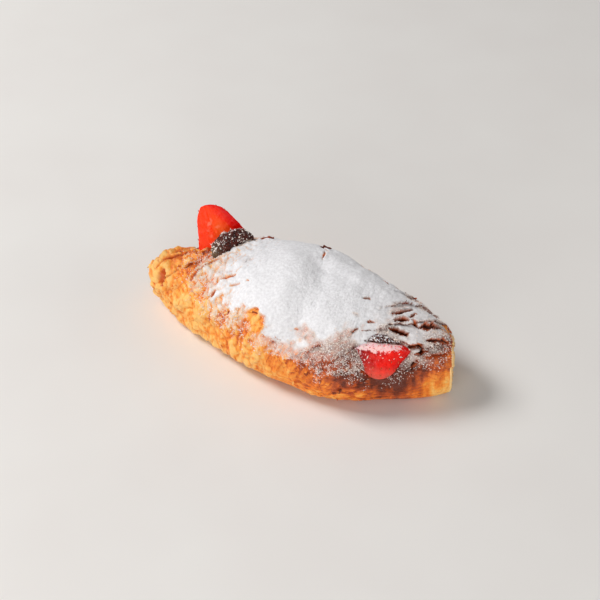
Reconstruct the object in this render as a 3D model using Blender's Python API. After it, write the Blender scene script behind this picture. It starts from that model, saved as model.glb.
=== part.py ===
"""Filled croissant: flaky pastry wrapped aslant round a chocolate filling, with half a
strawberry standing in the mouth at the back and half a strawberry tucked in the front one.

Metres, +Z up. The origin is the centre of the footprint, on the surface that the roll rests on.
+X runs along the roll, from its low narrow end to its blunt end, and -Y is the front.
"""

import math

import bmesh
import bpy
import numpy as np
from mathutils import Vector, noise
from mathutils.bvhtree import BVHTree

# The roll's outline: x, reach to the front, reach to the back, crown height, underside height.
STATIONS = (
    (-0.086, 0.0080, 0.0080, 0.0195, 0.0030),
    (-0.078, 0.0130, 0.0140, 0.0260, 0.0010),
    (-0.062, 0.0215, 0.0220, 0.0315, 0.0),
    (-0.040, 0.0300, 0.0320, 0.0420, 0.0),
    (-0.015, 0.0390, 0.0341, 0.0489, 0.0),
    (0.015, 0.0435, 0.0339, 0.0508, 0.0),
    (0.028, 0.0438, 0.0280, 0.0491, 0.0),
    (0.042, 0.0410, 0.0232, 0.0468, 0.0),
    (0.062, 0.0290, 0.0172, 0.0410, 0.0),
    (0.076, 0.0170, 0.0150, 0.0350, 0.0),
    (0.085, 0.0105, 0.0110, 0.0290, 0.0024),
)
LOW_END = STATIONS[0][0]
BLUNT_END = STATIONS[-1][0]
# The middle of the footprint, seen from the roll's own axis: the origin is moved there.
MIDDLE = (-0.0002, -0.0043)
WIDEST_LEVEL = 0.34  # the widest level, as a share of the crown height
DOME_POWER = 2.3
BASE_POWER = 4.0
BASE_CUT = 0.0016  # how far the rounded underside is planed flat
OUTLINE_STEPS = 360

# Both ends are cut aslant: one leans out at its top, the other is longer at the front.
END_REACH = 0.030
LOW_END_LEAN = 0.42
LOW_END_MIDDLE = 0.012
BLUNT_END_SLANT = 0.42

RINGS = 60
RING_POINTS = 54
RING_CROWDING = 1.25  # rings lie closer together towards the ends
UNDERSIDE_WEIGHT = 0.42  # the underside's share of points for its length
UNDERSIDE_DEPTH = 0.001
CAP_RINGS = ((0.74, 0.0012), (0.46, -0.0022), (0.2, -0.0010))  # scale, and push out of the end
CAP_TIP_PUSH = -0.0006

# Folded sheets lie over each other like shingles, their edges aslant across the roll.
SHEET_PITCH = 0.0105
SHEET_LIFT = 0.0020
SHEET_RISE = 0.6  # the share of the pitch over which a sheet rises to its edge
SHEET_FULL_LIFT = (0.034, 0.062)  # along the roll from its middle, where the lift grows
SHEET_LEAST = 0.3  # the share of the lift that is left at the middle
SHEET_SLANT = (0.72, -0.694)  # across the sheets' edges: along the roll, and round it
WRAP_STEEPNESS = 0.8  # how fast the way round the roll grows as its side falls from the crown
WRAP_SOFTENING = 0.010
SHEET_WANDER = 0.0042
SHEET_WANDER_SCALE = 55
FIRST_SHEET = (2.0, 3.0)  # turns away from the middle, where the sheets fade in
CRAG_LIFT = 0.0013
CRAG_SCALE = 95
CRAG_LAYERS = (0.7, 2.1, 3)  # roughness, step in scale, and count
VALLEY_X = 0.014
VALLEY_WIDTH = 0.009
VALLEY_DEPTH = 0.0030
VALLEY_BACK_FADE = (0.0, 0.012)  # how far behind the crest it grows shallow
VALLEY_BACK_SHARE = 0.1  # of its depth, left behind the crest
FOOT_FADE = (0.0015, 0.009)
END_FADE = 0.7
CREST_FADE = (0.020, 0.036)

# The lips of the two mouths: one end, the other end, half width, lift.
MOUTHS = (
    ((-0.056, -0.003, 0.037), (-0.040, 0.018, 0.041), 0.0105, 0.0011),
    ((0.044, -0.033, 0.028), (0.072, -0.020, 0.024), 0.0115, 0.0014),
)
LIP_WIDTH = 0.0045

# The filling runs through the roll: x, y, z, radius across, radius up.
FILLING_ROUTE = (
    (-0.0500, 0.0085, 0.0290, 0.0050, 0.0045),
    (-0.0430, 0.0080, 0.0290, 0.0115, 0.0090),
    (-0.0220, 0.0040, 0.0250, 0.0150, 0.0100),
    (0.0000, 0.0000, 0.0240, 0.0160, 0.0105),
    (0.0250, -0.0060, 0.0245, 0.0150, 0.0105),
    (0.0430, -0.0130, 0.0270, 0.0120, 0.0090),
    (0.0540, -0.0160, 0.0290, 0.0060, 0.0050),
)
TUBE_RINGS = 13
TUBE_POINTS = 12
# The lumps of filling that show: centre, half length, half width, half height, turn in degrees.
LUMPS = (
    ((-0.0440, 0.0090, 0.0410), 0.0125, 0.0060, 0.0085, 56),
    ((0.0545, -0.0235, 0.0335), 0.0105, 0.0055, 0.0062, 25),
)
LUMP_SEGMENTS = (16, 10)
LUMP_BUMP = 0.0011
LUMP_BUMP_SCALE = 210

BERRY_RINGS = 12
SKIN_POINTS = 13
FACE_POINTS = 5
TIP_CROWDING = 1.5  # rings lie closer together towards the tip
STANDING = {
    "stem": (-0.0457, 0.0112, 0.0262),
    "tip": (-0.0619, 0.0155, 0.0567),
    "face": (0.40, -0.85, 0.34),
    "half_width": 0.0193,
    "depth": 0.0125,
    "bluntness": 0.32,
    "round_tip": 0.20,
}
TUCKED = {
    "stem": (0.0548, -0.0220, 0.0342),
    "tip": (0.0580, -0.0333, 0.0198),
    "face": (-0.42, 0.90, -0.30),
    "half_width": 0.0178,
    "depth": 0.0084,
    "bluntness": 0.34,
    "round_tip": 0.34,
}
SHOULDER = 0.82  # where the berry's shoulder starts to turn in towards its stem
SHOULDER_TURN = 0.55
BERRY_LUMPINESS = 0.05
BERRY_LUMP_SCALE = 160

# Gashes between the sheets near the blunt end: two ends in plan, width, depth.
GASHES = (
    ((0.0545, -0.0110), (0.0630, 0.0010), 0.0026, 0.0040),
    ((0.0560, -0.0150), (0.0640, -0.0070), 0.0034, 0.0040),
    ((0.0545, -0.0205), (0.0655, -0.0150), 0.0036, 0.0036),
    ((0.0680, -0.0110), (0.0770, 0.0010), 0.0040, 0.0034),
    ((0.0675, -0.0185), (0.0825, -0.0030), 0.0036, 0.0034),
    ((0.0705, -0.0205), (0.0850, -0.0080), 0.0026, 0.0030),
    ((0.0700, 0.0040), (0.0755, 0.0070), 0.0030, 0.0030),
)
GASH_LEAN = 0.35
GASH_SEGMENTS = (10, 6)
ABOVE_ALL = 0.1

CLEARANCE = 0.00045  # how far a cutter stands out, which leaves 0.3 mm at its sharp edges


def smooth_step(low, high, value):
    """0 below low, 1 above high, and a smooth rise between them."""
    t = min(max((value - low) / (high - low), 0.0), 1.0)
    return t * t * (3 - 2 * t)


def hermite(rows, at):
    """The smooth curve through rows, whose first column rises, read at one place."""
    table = np.array(rows)
    knots, values = table[:, 0], table[:, 1:]
    slopes = np.gradient(values, knots, axis=0)
    i = int(np.clip(np.searchsorted(knots, at) - 1, 0, len(knots) - 2))
    span = knots[i + 1] - knots[i]
    t = (at - knots[i]) / span
    return (
        (2 * t**3 - 3 * t**2 + 1) * values[i]
        + (t**3 - 2 * t**2 + t) * span * slopes[i]
        + (3 * t**2 - 2 * t**3) * values[i + 1]
        + (t**3 - t**2) * span * slopes[i + 1]
    )


def section(x):
    """The closed outline of the roll at x as (y, z) rows, from the back over the crown."""
    front, back, crown, underside = hermite(STATIONS, x)
    angle = np.linspace(0, 2 * math.pi, OUTLINE_STEPS, endpoint=False)
    across, up = np.cos(angle), np.sin(angle)
    power = np.where(up > 0, DOME_POWER, BASE_POWER)
    y = np.sign(across) * np.abs(across) ** (2 / power) * np.where(across > 0, back, front)
    middle = underside + WIDEST_LEVEL * (crown - underside)
    rise = np.where(up > 0, crown - middle, middle - underside + BASE_CUT)
    z = middle + np.sign(up) * np.abs(up) ** (2 / power) * rise
    return np.column_stack([y, np.maximum(z, underside)])


def ring(x):
    """The section's points, evenly spaced but sparser along the underside, as a slanted ring."""
    outline = section(x)
    closed = np.vstack([outline, outline[:1]])
    steps = np.linalg.norm(np.diff(closed, axis=0), axis=1)
    low = (closed[:-1, 1] + closed[1:, 1]) / 2 < closed[:, 1].min() + UNDERSIDE_DEPTH
    steps[low] *= UNDERSIDE_WEIGHT
    walked = np.concatenate([[0], np.cumsum(steps)])
    wanted = np.linspace(0, walked[-1], RING_POINTS, endpoint=False)
    y = np.interp(wanted, walked, closed[:, 0])
    z = np.interp(wanted, walked, closed[:, 1])
    lean = LOW_END_LEAN * (1 - smooth_step(LOW_END, LOW_END + END_REACH, x))
    slant = BLUNT_END_SLANT * smooth_step(BLUNT_END - END_REACH, BLUNT_END, x)
    return np.column_stack([x - lean * (z - LOW_END_MIDDLE) - slant * y, y, z])


def sheet_lift(point):
    """The shingled sheets: each rises towards its edge, then drops onto the next one out."""
    crown = hermite(STATIONS, min(max(point.x, LOW_END), BLUNT_END))[2]
    side = point.y / (abs(point.y) + WRAP_SOFTENING)
    round_the_roll = point.y + WRAP_STEEPNESS * (crown - point.z) * side
    across = SHEET_SLANT[0] * point.x + SHEET_SLANT[1] * round_the_roll
    across += SHEET_WANDER * noise.noise(point * SHEET_WANDER_SCALE)
    turns = abs(across) / SHEET_PITCH
    part = turns % 1.0
    rise = part / SHEET_RISE if part < SHEET_RISE else 1 - smooth_step(SHEET_RISE, 1, part)
    share = SHEET_LEAST + (1 - SHEET_LEAST) * smooth_step(*SHEET_FULL_LIFT, abs(point.x))
    return SHEET_LIFT * share * (rise - 0.5) * smooth_step(*FIRST_SHEET, turns)


def distance_to_line(point, start, end):
    """How far a point is from the stretch between two places."""
    start, end = Vector(start), Vector(end)
    along = (point - start).dot(end - start) / (end - start).length_squared
    return (point - start.lerp(end, min(max(along, 0.0), 1.0))).length


def lip(point):
    """The crust turned up round the two mouths."""
    lift = 0.0
    for start, end, half_width, rise in MOUTHS:
        away = (distance_to_line(point, start, end) - half_width) / LIP_WIDTH
        lift += rise * math.exp(-away * away)
    return lift


def relief(point, normal):
    """How far the crust stands out from the smooth roll. It fades at the foot and the ends."""
    crag = noise.fractal(point * CRAG_SCALE, *CRAG_LAYERS) * CRAG_LIFT
    valley = -VALLEY_DEPTH * math.exp(-(((point.x - VALLEY_X) / VALLEY_WIDTH) ** 2))
    valley *= 1 - (1 - VALLEY_BACK_SHARE) * smooth_step(*VALLEY_BACK_FADE, point.y)
    foot = smooth_step(*FOOT_FADE, point.z) * (1 - END_FADE * abs(normal.x) ** 3)
    crest = smooth_step(*CREST_FADE, point.z)
    return foot * (crag + sheet_lift(point) + lip(point)) + crest * valley


def skinned(rings, cap_start, cap_end):
    """A closed bmesh of triangles over equal rings of points, with a point to close each end."""
    shape = bmesh.new()
    rows = [[shape.verts.new(point) for point in points] for points in rings]
    count = len(rows[0])
    for low, high in zip(rows, rows[1:]):
        for i in range(count):
            j = (i + 1) % count
            shape.faces.new((low[i], low[j], high[j], high[i]))
    for row, tip in ((rows[0], cap_start), (rows[-1], cap_end)):
        centre = shape.verts.new(tip)
        for i in range(count):
            shape.faces.new((row[i], row[(i + 1) % count], centre))
    bmesh.ops.recalc_face_normals(shape, faces=shape.faces)
    bmesh.ops.triangulate(shape, faces=shape.faces)
    return shape


def end_rings(last, outward):
    """The ragged face of a blunt end: its rings go in and out as the rolled layers do."""
    middle = last.mean(axis=0)
    rings = []
    for scale, push in CAP_RINGS:
        points = middle + (last - middle) * scale
        points[:, 0] += outward * push
        rings.append(points)
    return rings, middle + np.array([outward * CAP_TIP_PUSH, 0, 0])


def pastry_shape():
    """The roll's crust as one closed bmesh, flat where it rests."""
    walk = np.sin(np.linspace(-1, 1, RINGS) * RING_CROWDING) / math.sin(RING_CROWDING)
    stations = (LOW_END + BLUNT_END) / 2 + (BLUNT_END - LOW_END) / 2 * walk
    rings = [ring(x) for x in stations]
    start_rings, start_tip = end_rings(rings[0], -1)
    finish_rings, finish_tip = end_rings(rings[-1], 1)
    shape = skinned(start_rings[::-1] + rings + finish_rings, start_tip, finish_tip)
    shape.normal_update()
    moved = [(v, v.co + v.normal * relief(v.co, v.normal)) for v in shape.verts]
    for v, place in moved:
        v.co = place
        v.co.z = max(v.co.z, 0.0)
    return shape


def tube_shape():
    """The hidden run of the filling, oval in section, from one mouth to the other."""
    rings = []
    for x in np.linspace(FILLING_ROUTE[0][0], FILLING_ROUTE[-1][0], TUBE_RINGS):
        y, z, across, up = hermite(FILLING_ROUTE, x)
        angle = np.linspace(0, 2 * math.pi, TUBE_POINTS, endpoint=False)
        points = [np.full(TUBE_POINTS, x), y + across * np.cos(angle), z + up * np.sin(angle)]
        rings.append(np.column_stack(points))
    return skinned(rings, rings[0].mean(axis=0), rings[-1].mean(axis=0))


def lump_shape(centre, half_length, half_width, half_height, turn):
    """A bumpy oval lump of filling, turned in plan."""
    shape = bmesh.new()
    around, along = LUMP_SEGMENTS
    bmesh.ops.create_uvsphere(shape, u_segments=around, v_segments=along, radius=1)
    bmesh.ops.scale(shape, vec=(half_length, half_width, half_height), verts=shape.verts)
    shape.normal_update()
    cos, sin = math.cos(math.radians(turn)), math.sin(math.radians(turn))
    for v in shape.verts:
        v.co += v.normal * noise.noise(v.co * LUMP_BUMP_SCALE) * LUMP_BUMP
        v.co = (v.co.x * cos - v.co.y * sin, v.co.x * sin + v.co.y * cos, v.co.z)
        v.co += Vector(centre)
    bmesh.ops.triangulate(shape, faces=shape.faces)
    return shape


def berry_profile(berry, t):
    """The berry's share of its full width at t, 0 at the tip: a cone with a round, blunt tip."""
    tip = math.sqrt(1 - (1 - min(t / berry["round_tip"], 1.0)) ** 2)
    turn_in = max(0.0, (t - SHOULDER) / (1 - SHOULDER))
    cone = berry["bluntness"] * tip + (1 - berry["bluntness"]) * t
    return cone * math.sqrt(1 - SHOULDER_TURN * turn_in**2)


def berry_shape(berry):
    """Half a strawberry: its skin is half a turned profile, and its cut face is flat."""
    stem, tip = Vector(berry["stem"]), Vector(berry["tip"])
    axis = (stem - tip).normalized()
    face = Vector(berry["face"])
    face = (face - axis * face.dot(axis)).normalized()
    side = axis.cross(face)
    arc = [math.pi * i / (SKIN_POINTS - 1) for i in range(SKIN_POINTS)]
    flat = [-1 + 2 * i / (FACE_POINTS + 1) for i in range(1, FACE_POINTS + 1)]
    rings = []
    for i in range(1, BERRY_RINGS + 1):
        t = (i / BERRY_RINGS) ** TIP_CROWDING
        scale = berry_profile(berry, t)
        width, depth = berry["half_width"] * scale, berry["depth"] * scale
        middle = tip.lerp(stem, t)
        skin = [middle + side * width * math.cos(a) - face * depth * math.sin(a) for a in arc]
        skin = [p + (p - middle) * BERRY_LUMPINESS * noise.noise(p * BERRY_LUMP_SCALE) for p in skin]
        cut = [middle + side * width * f for f in flat]
        rings.append(np.array(skin + cut))
    return skinned(rings, tip, stem)


def gash_shape(crust, start, end, width, depth):
    """A lens-shaped cutter that lies along the crust between two places in plan."""
    tops = []
    for x, y in (start, end):
        place, normal, _, _ = crust.ray_cast(Vector((x, y, ABOVE_ALL)), Vector((0, 0, -1)))
        tops.append((place, normal))
    along = tops[1][0] - tops[0][0]
    normal = (tops[0][1] + tops[1][1]).normalized()
    across = along.cross(normal).normalized()
    down = (across * GASH_LEAN - normal).normalized()
    across = down.cross(along).normalized()
    middle = (tops[0][0] + tops[1][0]) / 2
    shape = bmesh.new()
    around, length = GASH_SEGMENTS
    bmesh.ops.create_uvsphere(shape, u_segments=around, v_segments=length, radius=1)
    for v in shape.verts:
        ball = v.co.copy()
        v.co = middle + along / 2 * ball.z + across * width / 2 * ball.x + down * depth * ball.y
    return shape


def grown(shape):
    """A copy of a shape that stands out by the clearance all round."""
    copy = shape.copy()
    copy.normal_update()
    for v, place in [(v, v.co + v.normal * CLEARANCE) for v in copy.verts]:
        v.co = place
    return copy


def finish(name, colour, roughness):
    """A plain finish in one colour."""
    material = bpy.data.materials.new(name)
    material.use_nodes = True
    shader = material.node_tree.nodes["Principled BSDF"]
    shader.inputs["Base Color"].default_value = (*colour, 1)
    shader.inputs["Roughness"].default_value = roughness
    shader.inputs["Metallic"].default_value = 0.0
    return material


def new_object(name, shape, collection, material=None):
    """An object made from a bmesh, which is used up, moved so that the origin is the footprint's."""
    mesh = bpy.data.meshes.new(name)
    shape.to_mesh(mesh)
    shape.free()
    mesh.shade_smooth()
    if material:
        mesh.materials.append(material)
    thing = bpy.data.objects.new(name, mesh)
    thing.location = (-MIDDLE[0], -MIDDLE[1], 0)
    collection.objects.link(thing)
    return thing


def hidden_collection(name, shapes):
    """Shapes that only cut or join others, as hidden objects in a collection of their own."""
    collection = bpy.data.collections.new(name)
    bpy.context.scene.collection.children.link(collection)
    for i, shape in enumerate(shapes):
        thing = new_object(f"{name}_{i}", shape, collection)
        thing.hide_render = True
        thing.display_type = "WIRE"
    return collection


def combine(thing, collection, operation):
    """Join a collection's shapes to an object, or cut them out of it."""
    boolean = thing.modifiers.new(collection.name, "BOOLEAN")
    boolean.operation = operation
    boolean.operand_type = "COLLECTION"
    boolean.collection = collection
    boolean.solver = "EXACT"


def main():
    for old in list(bpy.data.objects):
        bpy.data.objects.remove(old)
    crust_finish = finish("golden_crust", (0.74, 0.38, 0.11), 0.6)
    chocolate_finish = finish("dark_chocolate", (0.045, 0.022, 0.014), 0.45)
    berry_finish = finish("strawberry_red", (0.78, 0.06, 0.03), 0.3)
    top = bpy.context.scene.collection

    standing, tucked = berry_shape(STANDING), berry_shape(TUCKED)
    lumps = [lump_shape(*lump) for lump in LUMPS]
    tube = tube_shape()
    crust = pastry_shape()
    surface = BVHTree.FromBMesh(crust)
    gashes = [gash_shape(surface, *gash) for gash in GASHES]
    berry_room = [grown(standing), grown(tucked)]
    room = [grown(shape) for shape in (tube, *lumps)] + [grown(standing), grown(tucked)] + gashes

    pastry = new_object("pastry", crust, top, crust_finish)
    combine(pastry, hidden_collection("room", room), "DIFFERENCE")
    filling = new_object("chocolate_filling", tube, top, chocolate_finish)
    combine(filling, hidden_collection("lumps", lumps), "UNION")
    combine(filling, hidden_collection("berry_room", berry_room), "DIFFERENCE")
    new_object("strawberry_standing", standing, top, berry_finish)
    new_object("strawberry_tucked", tucked, top, berry_finish)


main()
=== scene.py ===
"""Looks of the filled croissant: flaky crust, icing sugar, chocolate filling and strawberry halves.

Metres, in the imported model's frame: +X along the roll to its blunt end, +Z up, the front at -Y.
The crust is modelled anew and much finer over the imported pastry's own outline. The filling and
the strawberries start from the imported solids. A range is two values between which something
grows from none to full, and it may run downwards. A form is a size of lumps and their height.
"""

import math

import bpy
import numpy as np
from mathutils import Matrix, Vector, noise
from mathutils.bvhtree import BVHTree


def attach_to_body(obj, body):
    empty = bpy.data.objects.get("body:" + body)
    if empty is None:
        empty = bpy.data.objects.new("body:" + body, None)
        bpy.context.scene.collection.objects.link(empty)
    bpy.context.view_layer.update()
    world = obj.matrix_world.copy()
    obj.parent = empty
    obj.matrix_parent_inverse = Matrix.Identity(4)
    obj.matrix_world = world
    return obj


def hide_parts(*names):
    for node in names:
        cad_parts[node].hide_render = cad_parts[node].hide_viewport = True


# ---- The roll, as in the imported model: x, reach to the front, to the back, crown, underside ----
STATIONS = (
    (-0.086, 0.0080, 0.0080, 0.0195, 0.0030),
    (-0.078, 0.0130, 0.0140, 0.0260, 0.0010),
    (-0.062, 0.0215, 0.0220, 0.0315, 0.0),
    (-0.040, 0.0300, 0.0320, 0.0420, 0.0),
    (-0.015, 0.0390, 0.0341, 0.0489, 0.0),
    (0.015, 0.0435, 0.0339, 0.0508, 0.0),
    (0.028, 0.0438, 0.0280, 0.0491, 0.0),
    (0.042, 0.0410, 0.0232, 0.0468, 0.0),
    (0.062, 0.0290, 0.0172, 0.0410, 0.0),
    (0.076, 0.0170, 0.0150, 0.0350, 0.0),
    (0.085, 0.0105, 0.0110, 0.0290, 0.0024),
)
LOW_END = STATIONS[0][0]
BLUNT_END = STATIONS[-1][0]
TO_FRAME = np.array([0.0002, 0.0043, 0.0])  # from the roll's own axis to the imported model's frame
WIDEST_LEVEL = 0.34
DOME_POWER = 2.3
BASE_POWER = 4.0
BASE_CUT = 0.0016
OUTLINE_STEPS = 1200
END_REACH = 0.030
LOW_END_LEAN = 0.42
LOW_END_MIDDLE = 0.012
BLUNT_END_SLANT = 0.42

RINGS = 316
RING_POINTS = 276
RING_CROWDING = 0.85  # rings lie closer together towards the ends
UNDERSIDE_WEIGHT = 0.25  # the underside's share of points for its length
UNDERSIDE_DEPTH = 0.001
CAP_STEPS = 16
# How far an end's face stands out, by its scale.
CAP_FACE = ((0.0, -0.0010), (0.3, -0.0016), (0.5, -0.0018), (0.76, 0.0006), (0.90, 0.0010), (1.0, 0.0))
CAP_LAYERS = 4  # rolled layers that show in an end's face
CAP_LAYER_STEP = 0.0006
CAP_WANDER = (0.006, 0.35)  # form, in layers
CAP_OUTER_FADE = (1.0, 0.90)
CAP_INNER_FADE = (0.0, 0.2)
CUT_RIM = (0.0009, 0.0002)  # from the blunt end, where the pale crumb of its face begins
LOW_RIM = 0.0016
LOW_CRUMB = 0.35  # how pale the low end's rim is
CRUMB_LEAST = 0.25

# ---- Large forms of the crust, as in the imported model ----
SHEET_PITCH = 0.0105
SHEET_LIFT = 0.0020
SHEET_RISE = 0.86
SHEET_FULL_LIFT = (0.034, 0.062)
SHEET_LEAST = 0.3
SHEET_SLANT = (0.72, -0.694)
WRAP_STEEPNESS = 0.8
WRAP_SOFTENING = 0.010
SHEET_WANDER = 0.0042
SHEET_WANDER_SCALE = 55
SHEET_RAG = (0.0045, 0.0011)
SHEET_OVERHANG = 0.0009
OVERHANG_PART = (0.5, 0.96)  # which part of a sheet hangs over
SHEET_EDGE = (0.84, 0.93)
FIRST_SHEET = (2.0, 3.0)
CRAG_LIFT = 0.0013
CRAG_SCALE = 95
CRAG_LAYERS = (0.7, 2.1, 3)
CRAG_SHOWING = 0.5  # the share of the broadest crags that thick sugar doesn't fill
VALLEY_X = 0.014
VALLEY_WIDTH = 0.009
VALLEY_DEPTH = 0.0030
VALLEY_BACK_FADE = (0.0, 0.012)
VALLEY_BACK_SHARE = 0.1
FOOT_FADE = (0.0015, 0.009)
END_FADE = 0.7
CREST_FADE = (0.020, 0.036)
MOUTHS = (
    ((-0.056, -0.003, 0.037), (-0.040, 0.018, 0.041), 0.0105, 0.0011),
    ((0.044, -0.033, 0.028), (0.072, -0.020, 0.024), 0.0115, 0.0014),
)
LIP_WIDTH = 0.0045

# ---- Fine relief of the crust. Pairs of sizes run along and across the leaves' edges. ----
# The tone weights below make raised dough paler and low dough darker in the finish: painted light and
# shade.
FINE_FOOT_FADE = (0.0003, 0.0035)
FINE_END_FADE = (0.0, 0.1)
FINE_END_LOSS = 0.7
LEAF_SLANT = ((-0.080, 0.25), (-0.030, 0.42), (0.050, 0.76), (0.090, 0.80))  # x, angle
FOLD_SIZE = (0.0190, 0.0068)
FOLD_LIFT = 0.00070
FOLD_TONE = 0.32
FOLD_FOOT = (0.018, 0.010)  # z, where the folds flatten towards the foot
FOLD_FOOT_LOSS = 0.75
LEAF_PITCH = 0.0052
LEAF_LIFT = 0.00060
LEAF_TONE = 0.50
LEAF_RISE = 0.86
LEAF_DROP = 0.98
LEAF_MEAN = 0.4
LEAF_EDGE = (0.86, 0.95)
LEAF_WANDER = (0.010, 0.8)  # form, in pitches
LEAF_RAG = (0.0026, 0.30)
LEAFY_SIZE = 0.013
LEAFY = (-0.30, 0.30)
WRINKLE_SIZE = (0.0080, 0.0015)
WRINKLE_LIFT = 0.00022
WRINKLE_TONE = 0.35
WRINKLE_MEAN = 0.6
FOOT_REGION = ((-0.020, 0.010), (0.0, -0.010), (0.017, 0.009))  # x, y, z: where leaves lie level
FOOT_LEAF_STEEPNESS = 2.4  # how much closer together the leaves lie along the foot
FOOT_LEAFY = 0.4
BLISTER_SIZE = 0.0048
BLISTER_LIFT = 0.00058
BLISTER_TONE = 0.60
BLISTER_CREASE = (0.22, 0.05)
BLISTERED_SIZE = 0.015
BLISTERED = (-0.05, 0.45)
BUBBLE_SIZE = 0.0023
BUBBLE_LIFT = 0.00024
BUBBLE_TONE = 0.22
BUBBLY = (0.012, -0.020)  # x, where the crust grows bubbly towards the low end
BUBBLY_BLISTERED = 0.8
BUBBLY_LIFT = 1.3
BLISTER_CREASE_SHARE = (0.45, 0.25)  # and how much more where it is bubbly
PILLOW_MEAN = 0.4
CALM_REGION = ((0.052, 0.064), (0.0, -0.006), (0.032, 0.026))  # x, y, z: where it is smoother
CALM_LOSS = 0.72
STREAK_SIZE = (0.0055, 0.0011)  # of the streaks in the finish
STREAKS_UP = 60  # how fast they change upwards

# ---- Icing sugar ----
SUGAR_COAT = 0.0003
HEAPS = (  # its heaps and one hollow: x, y, radius, height
    (-0.006, 0.003, 0.0145, 0.0021),
    (0.034, 0.003, 0.010, 0.0007),
    (0.025, -0.013, 0.010, 0.0005),
    (0.008, 0.010, 0.0080, -0.0012),
)
DRIFT = (0.0065, 0.00030)  # form of its soft unevenness
DRIFT_FROM = (-0.012, 0.012)  # x, where that unevenness grows
DRIFT_LEAST = 0.4
CLUMP = (0.0016, 0.00004)  # form of its small clumps
SLAB_SIZE = (0.0130, 0.0062)  # of the sugared slabs of crust on the left, along and across the leaves
SLABS_END = (-0.008, -0.022)
SLAB_GAP = 0.0008
GAP_EDGE = (0.20, 0.06)
GAP_FILM = (0.12, 0.40)
GAP_THICK = (0.80, 0.99)
GAP_THICK_LOSS = 0.75
GAP_BARENESS = 0.8
# Painted shade in the gaps between the sugared slabs:
GAP_PAINTED_SHADE = 0.25
BROKEN_X = (0.006, -0.010)
BROKEN_SHARE = 0.60
SUGAR_FILL = 0.92  # the share of the fine relief that thick sugar hides
SUGAR_FILL_LOST = 0.34  # how much less of it on the left
FILL_LOST_X = (-0.014, -0.030)
SUGAR_WAVE = (0.013, 0.0045)  # how the edge of the sugar wanders
SUGAR_FRAY = (0.003, 0.0014)
SUGAR_EDGE = (-0.0080, 0.0040)
SUGAR_LINE = (  # the lowest thick sugar on the front: x, z
    (-0.046, 0.0345), (-0.036, 0.0330), (-0.026, 0.0308), (-0.018, 0.0345), (-0.0125, 0.0375),
    (-0.004, 0.0362), (0.003, 0.0350), (0.010, 0.0340), (0.0155, 0.0342), (0.020, 0.0358),
    (0.025, 0.0378), (0.032, 0.0395), (0.040, 0.0400), (0.050, 0.0395), (0.058, 0.0375),
    (0.066, 0.0345), (0.074, 0.0310), (0.080, 0.0305), (0.090, 0.0300),
)
SUGAR_ALONG = (  # its share of the cover: x, share
    (-0.072, 0.0), (-0.062, 0.14), (-0.052, 0.42), (-0.042, 0.70), (-0.031, 0.93), (-0.023, 1.0),
    (0.030, 1.0), (0.062, 0.92), (0.074, 0.86), (0.081, 0.58), (0.088, 0.10),
)
DUSTING = (-0.0160, -0.0035)  # faint sugar below the thick sugar's edge
DUSTING_SHARE = 0.50
DUSTING_END = (0.055, 0.035)
DUSTING_WAVE = 1.6  # how much more its edge wanders than the thick sugar's
SPRINKLE = 0.44  # how densely grains lie on the right of the front, below the thick sugar
SPRINKLE_LINE = (  # the lowest grains there: x, z
    (-0.014, 0.0340), (0.000, 0.0290), (0.015, 0.0230), (0.032, 0.0180), (0.046, 0.0180),
    (0.062, 0.0190), (0.072, 0.0205), (0.079, 0.0225), (0.084, 0.0300), (0.090, 0.0350),
)
SPRINKLE_EDGE = (-0.0025, 0.0035)
SPRINKLE_X = (-0.010, 0.010)
SPRINKLE_Y = (0.004, -0.008)
SPRINKLE_SPARSER_X = (0.058, 0.070)
SPRINKLE_SPARSER = 0.5
SPRINKLE_WAVE = 1.3
GRAINS_BESIDE = 1.3  # how densely grains lie along the thick sugar's edge
LYING = (-0.05, 0.42)  # how far up a surface faces where sugar lies
LYING_EASED = 0.32
SUGAR_PATCH = ((0.0202, -0.0351, 0.0316), 0.0030)  # a lump of sugar below the edge: middle, radius
PATCH_SHARE = 0.85
PATCH_EDGE = (1.3, 0.6)  # in radii
PATCH_WAVE = 0.5
BARE_PATCH_EDGE = (0.75, 1.25)  # in radii
BARE_PATCHES = (  # places without sugar: middle, radius
    ((-0.0680, 0.0150, 0.0290), 0.0075),
    ((-0.0590, 0.0150, 0.0320), 0.0060),
    ((-0.0085, -0.0292, 0.0345), 0.0048),
    ((-0.0040, -0.0320, 0.0330), 0.0030),
)
# Where the sheets' edges are bare of sugar, towards the ends: range of x, share.
BARE_EDGES = (((0.062, 0.074), 0.25), ((-0.046, -0.066), 0.7))

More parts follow.
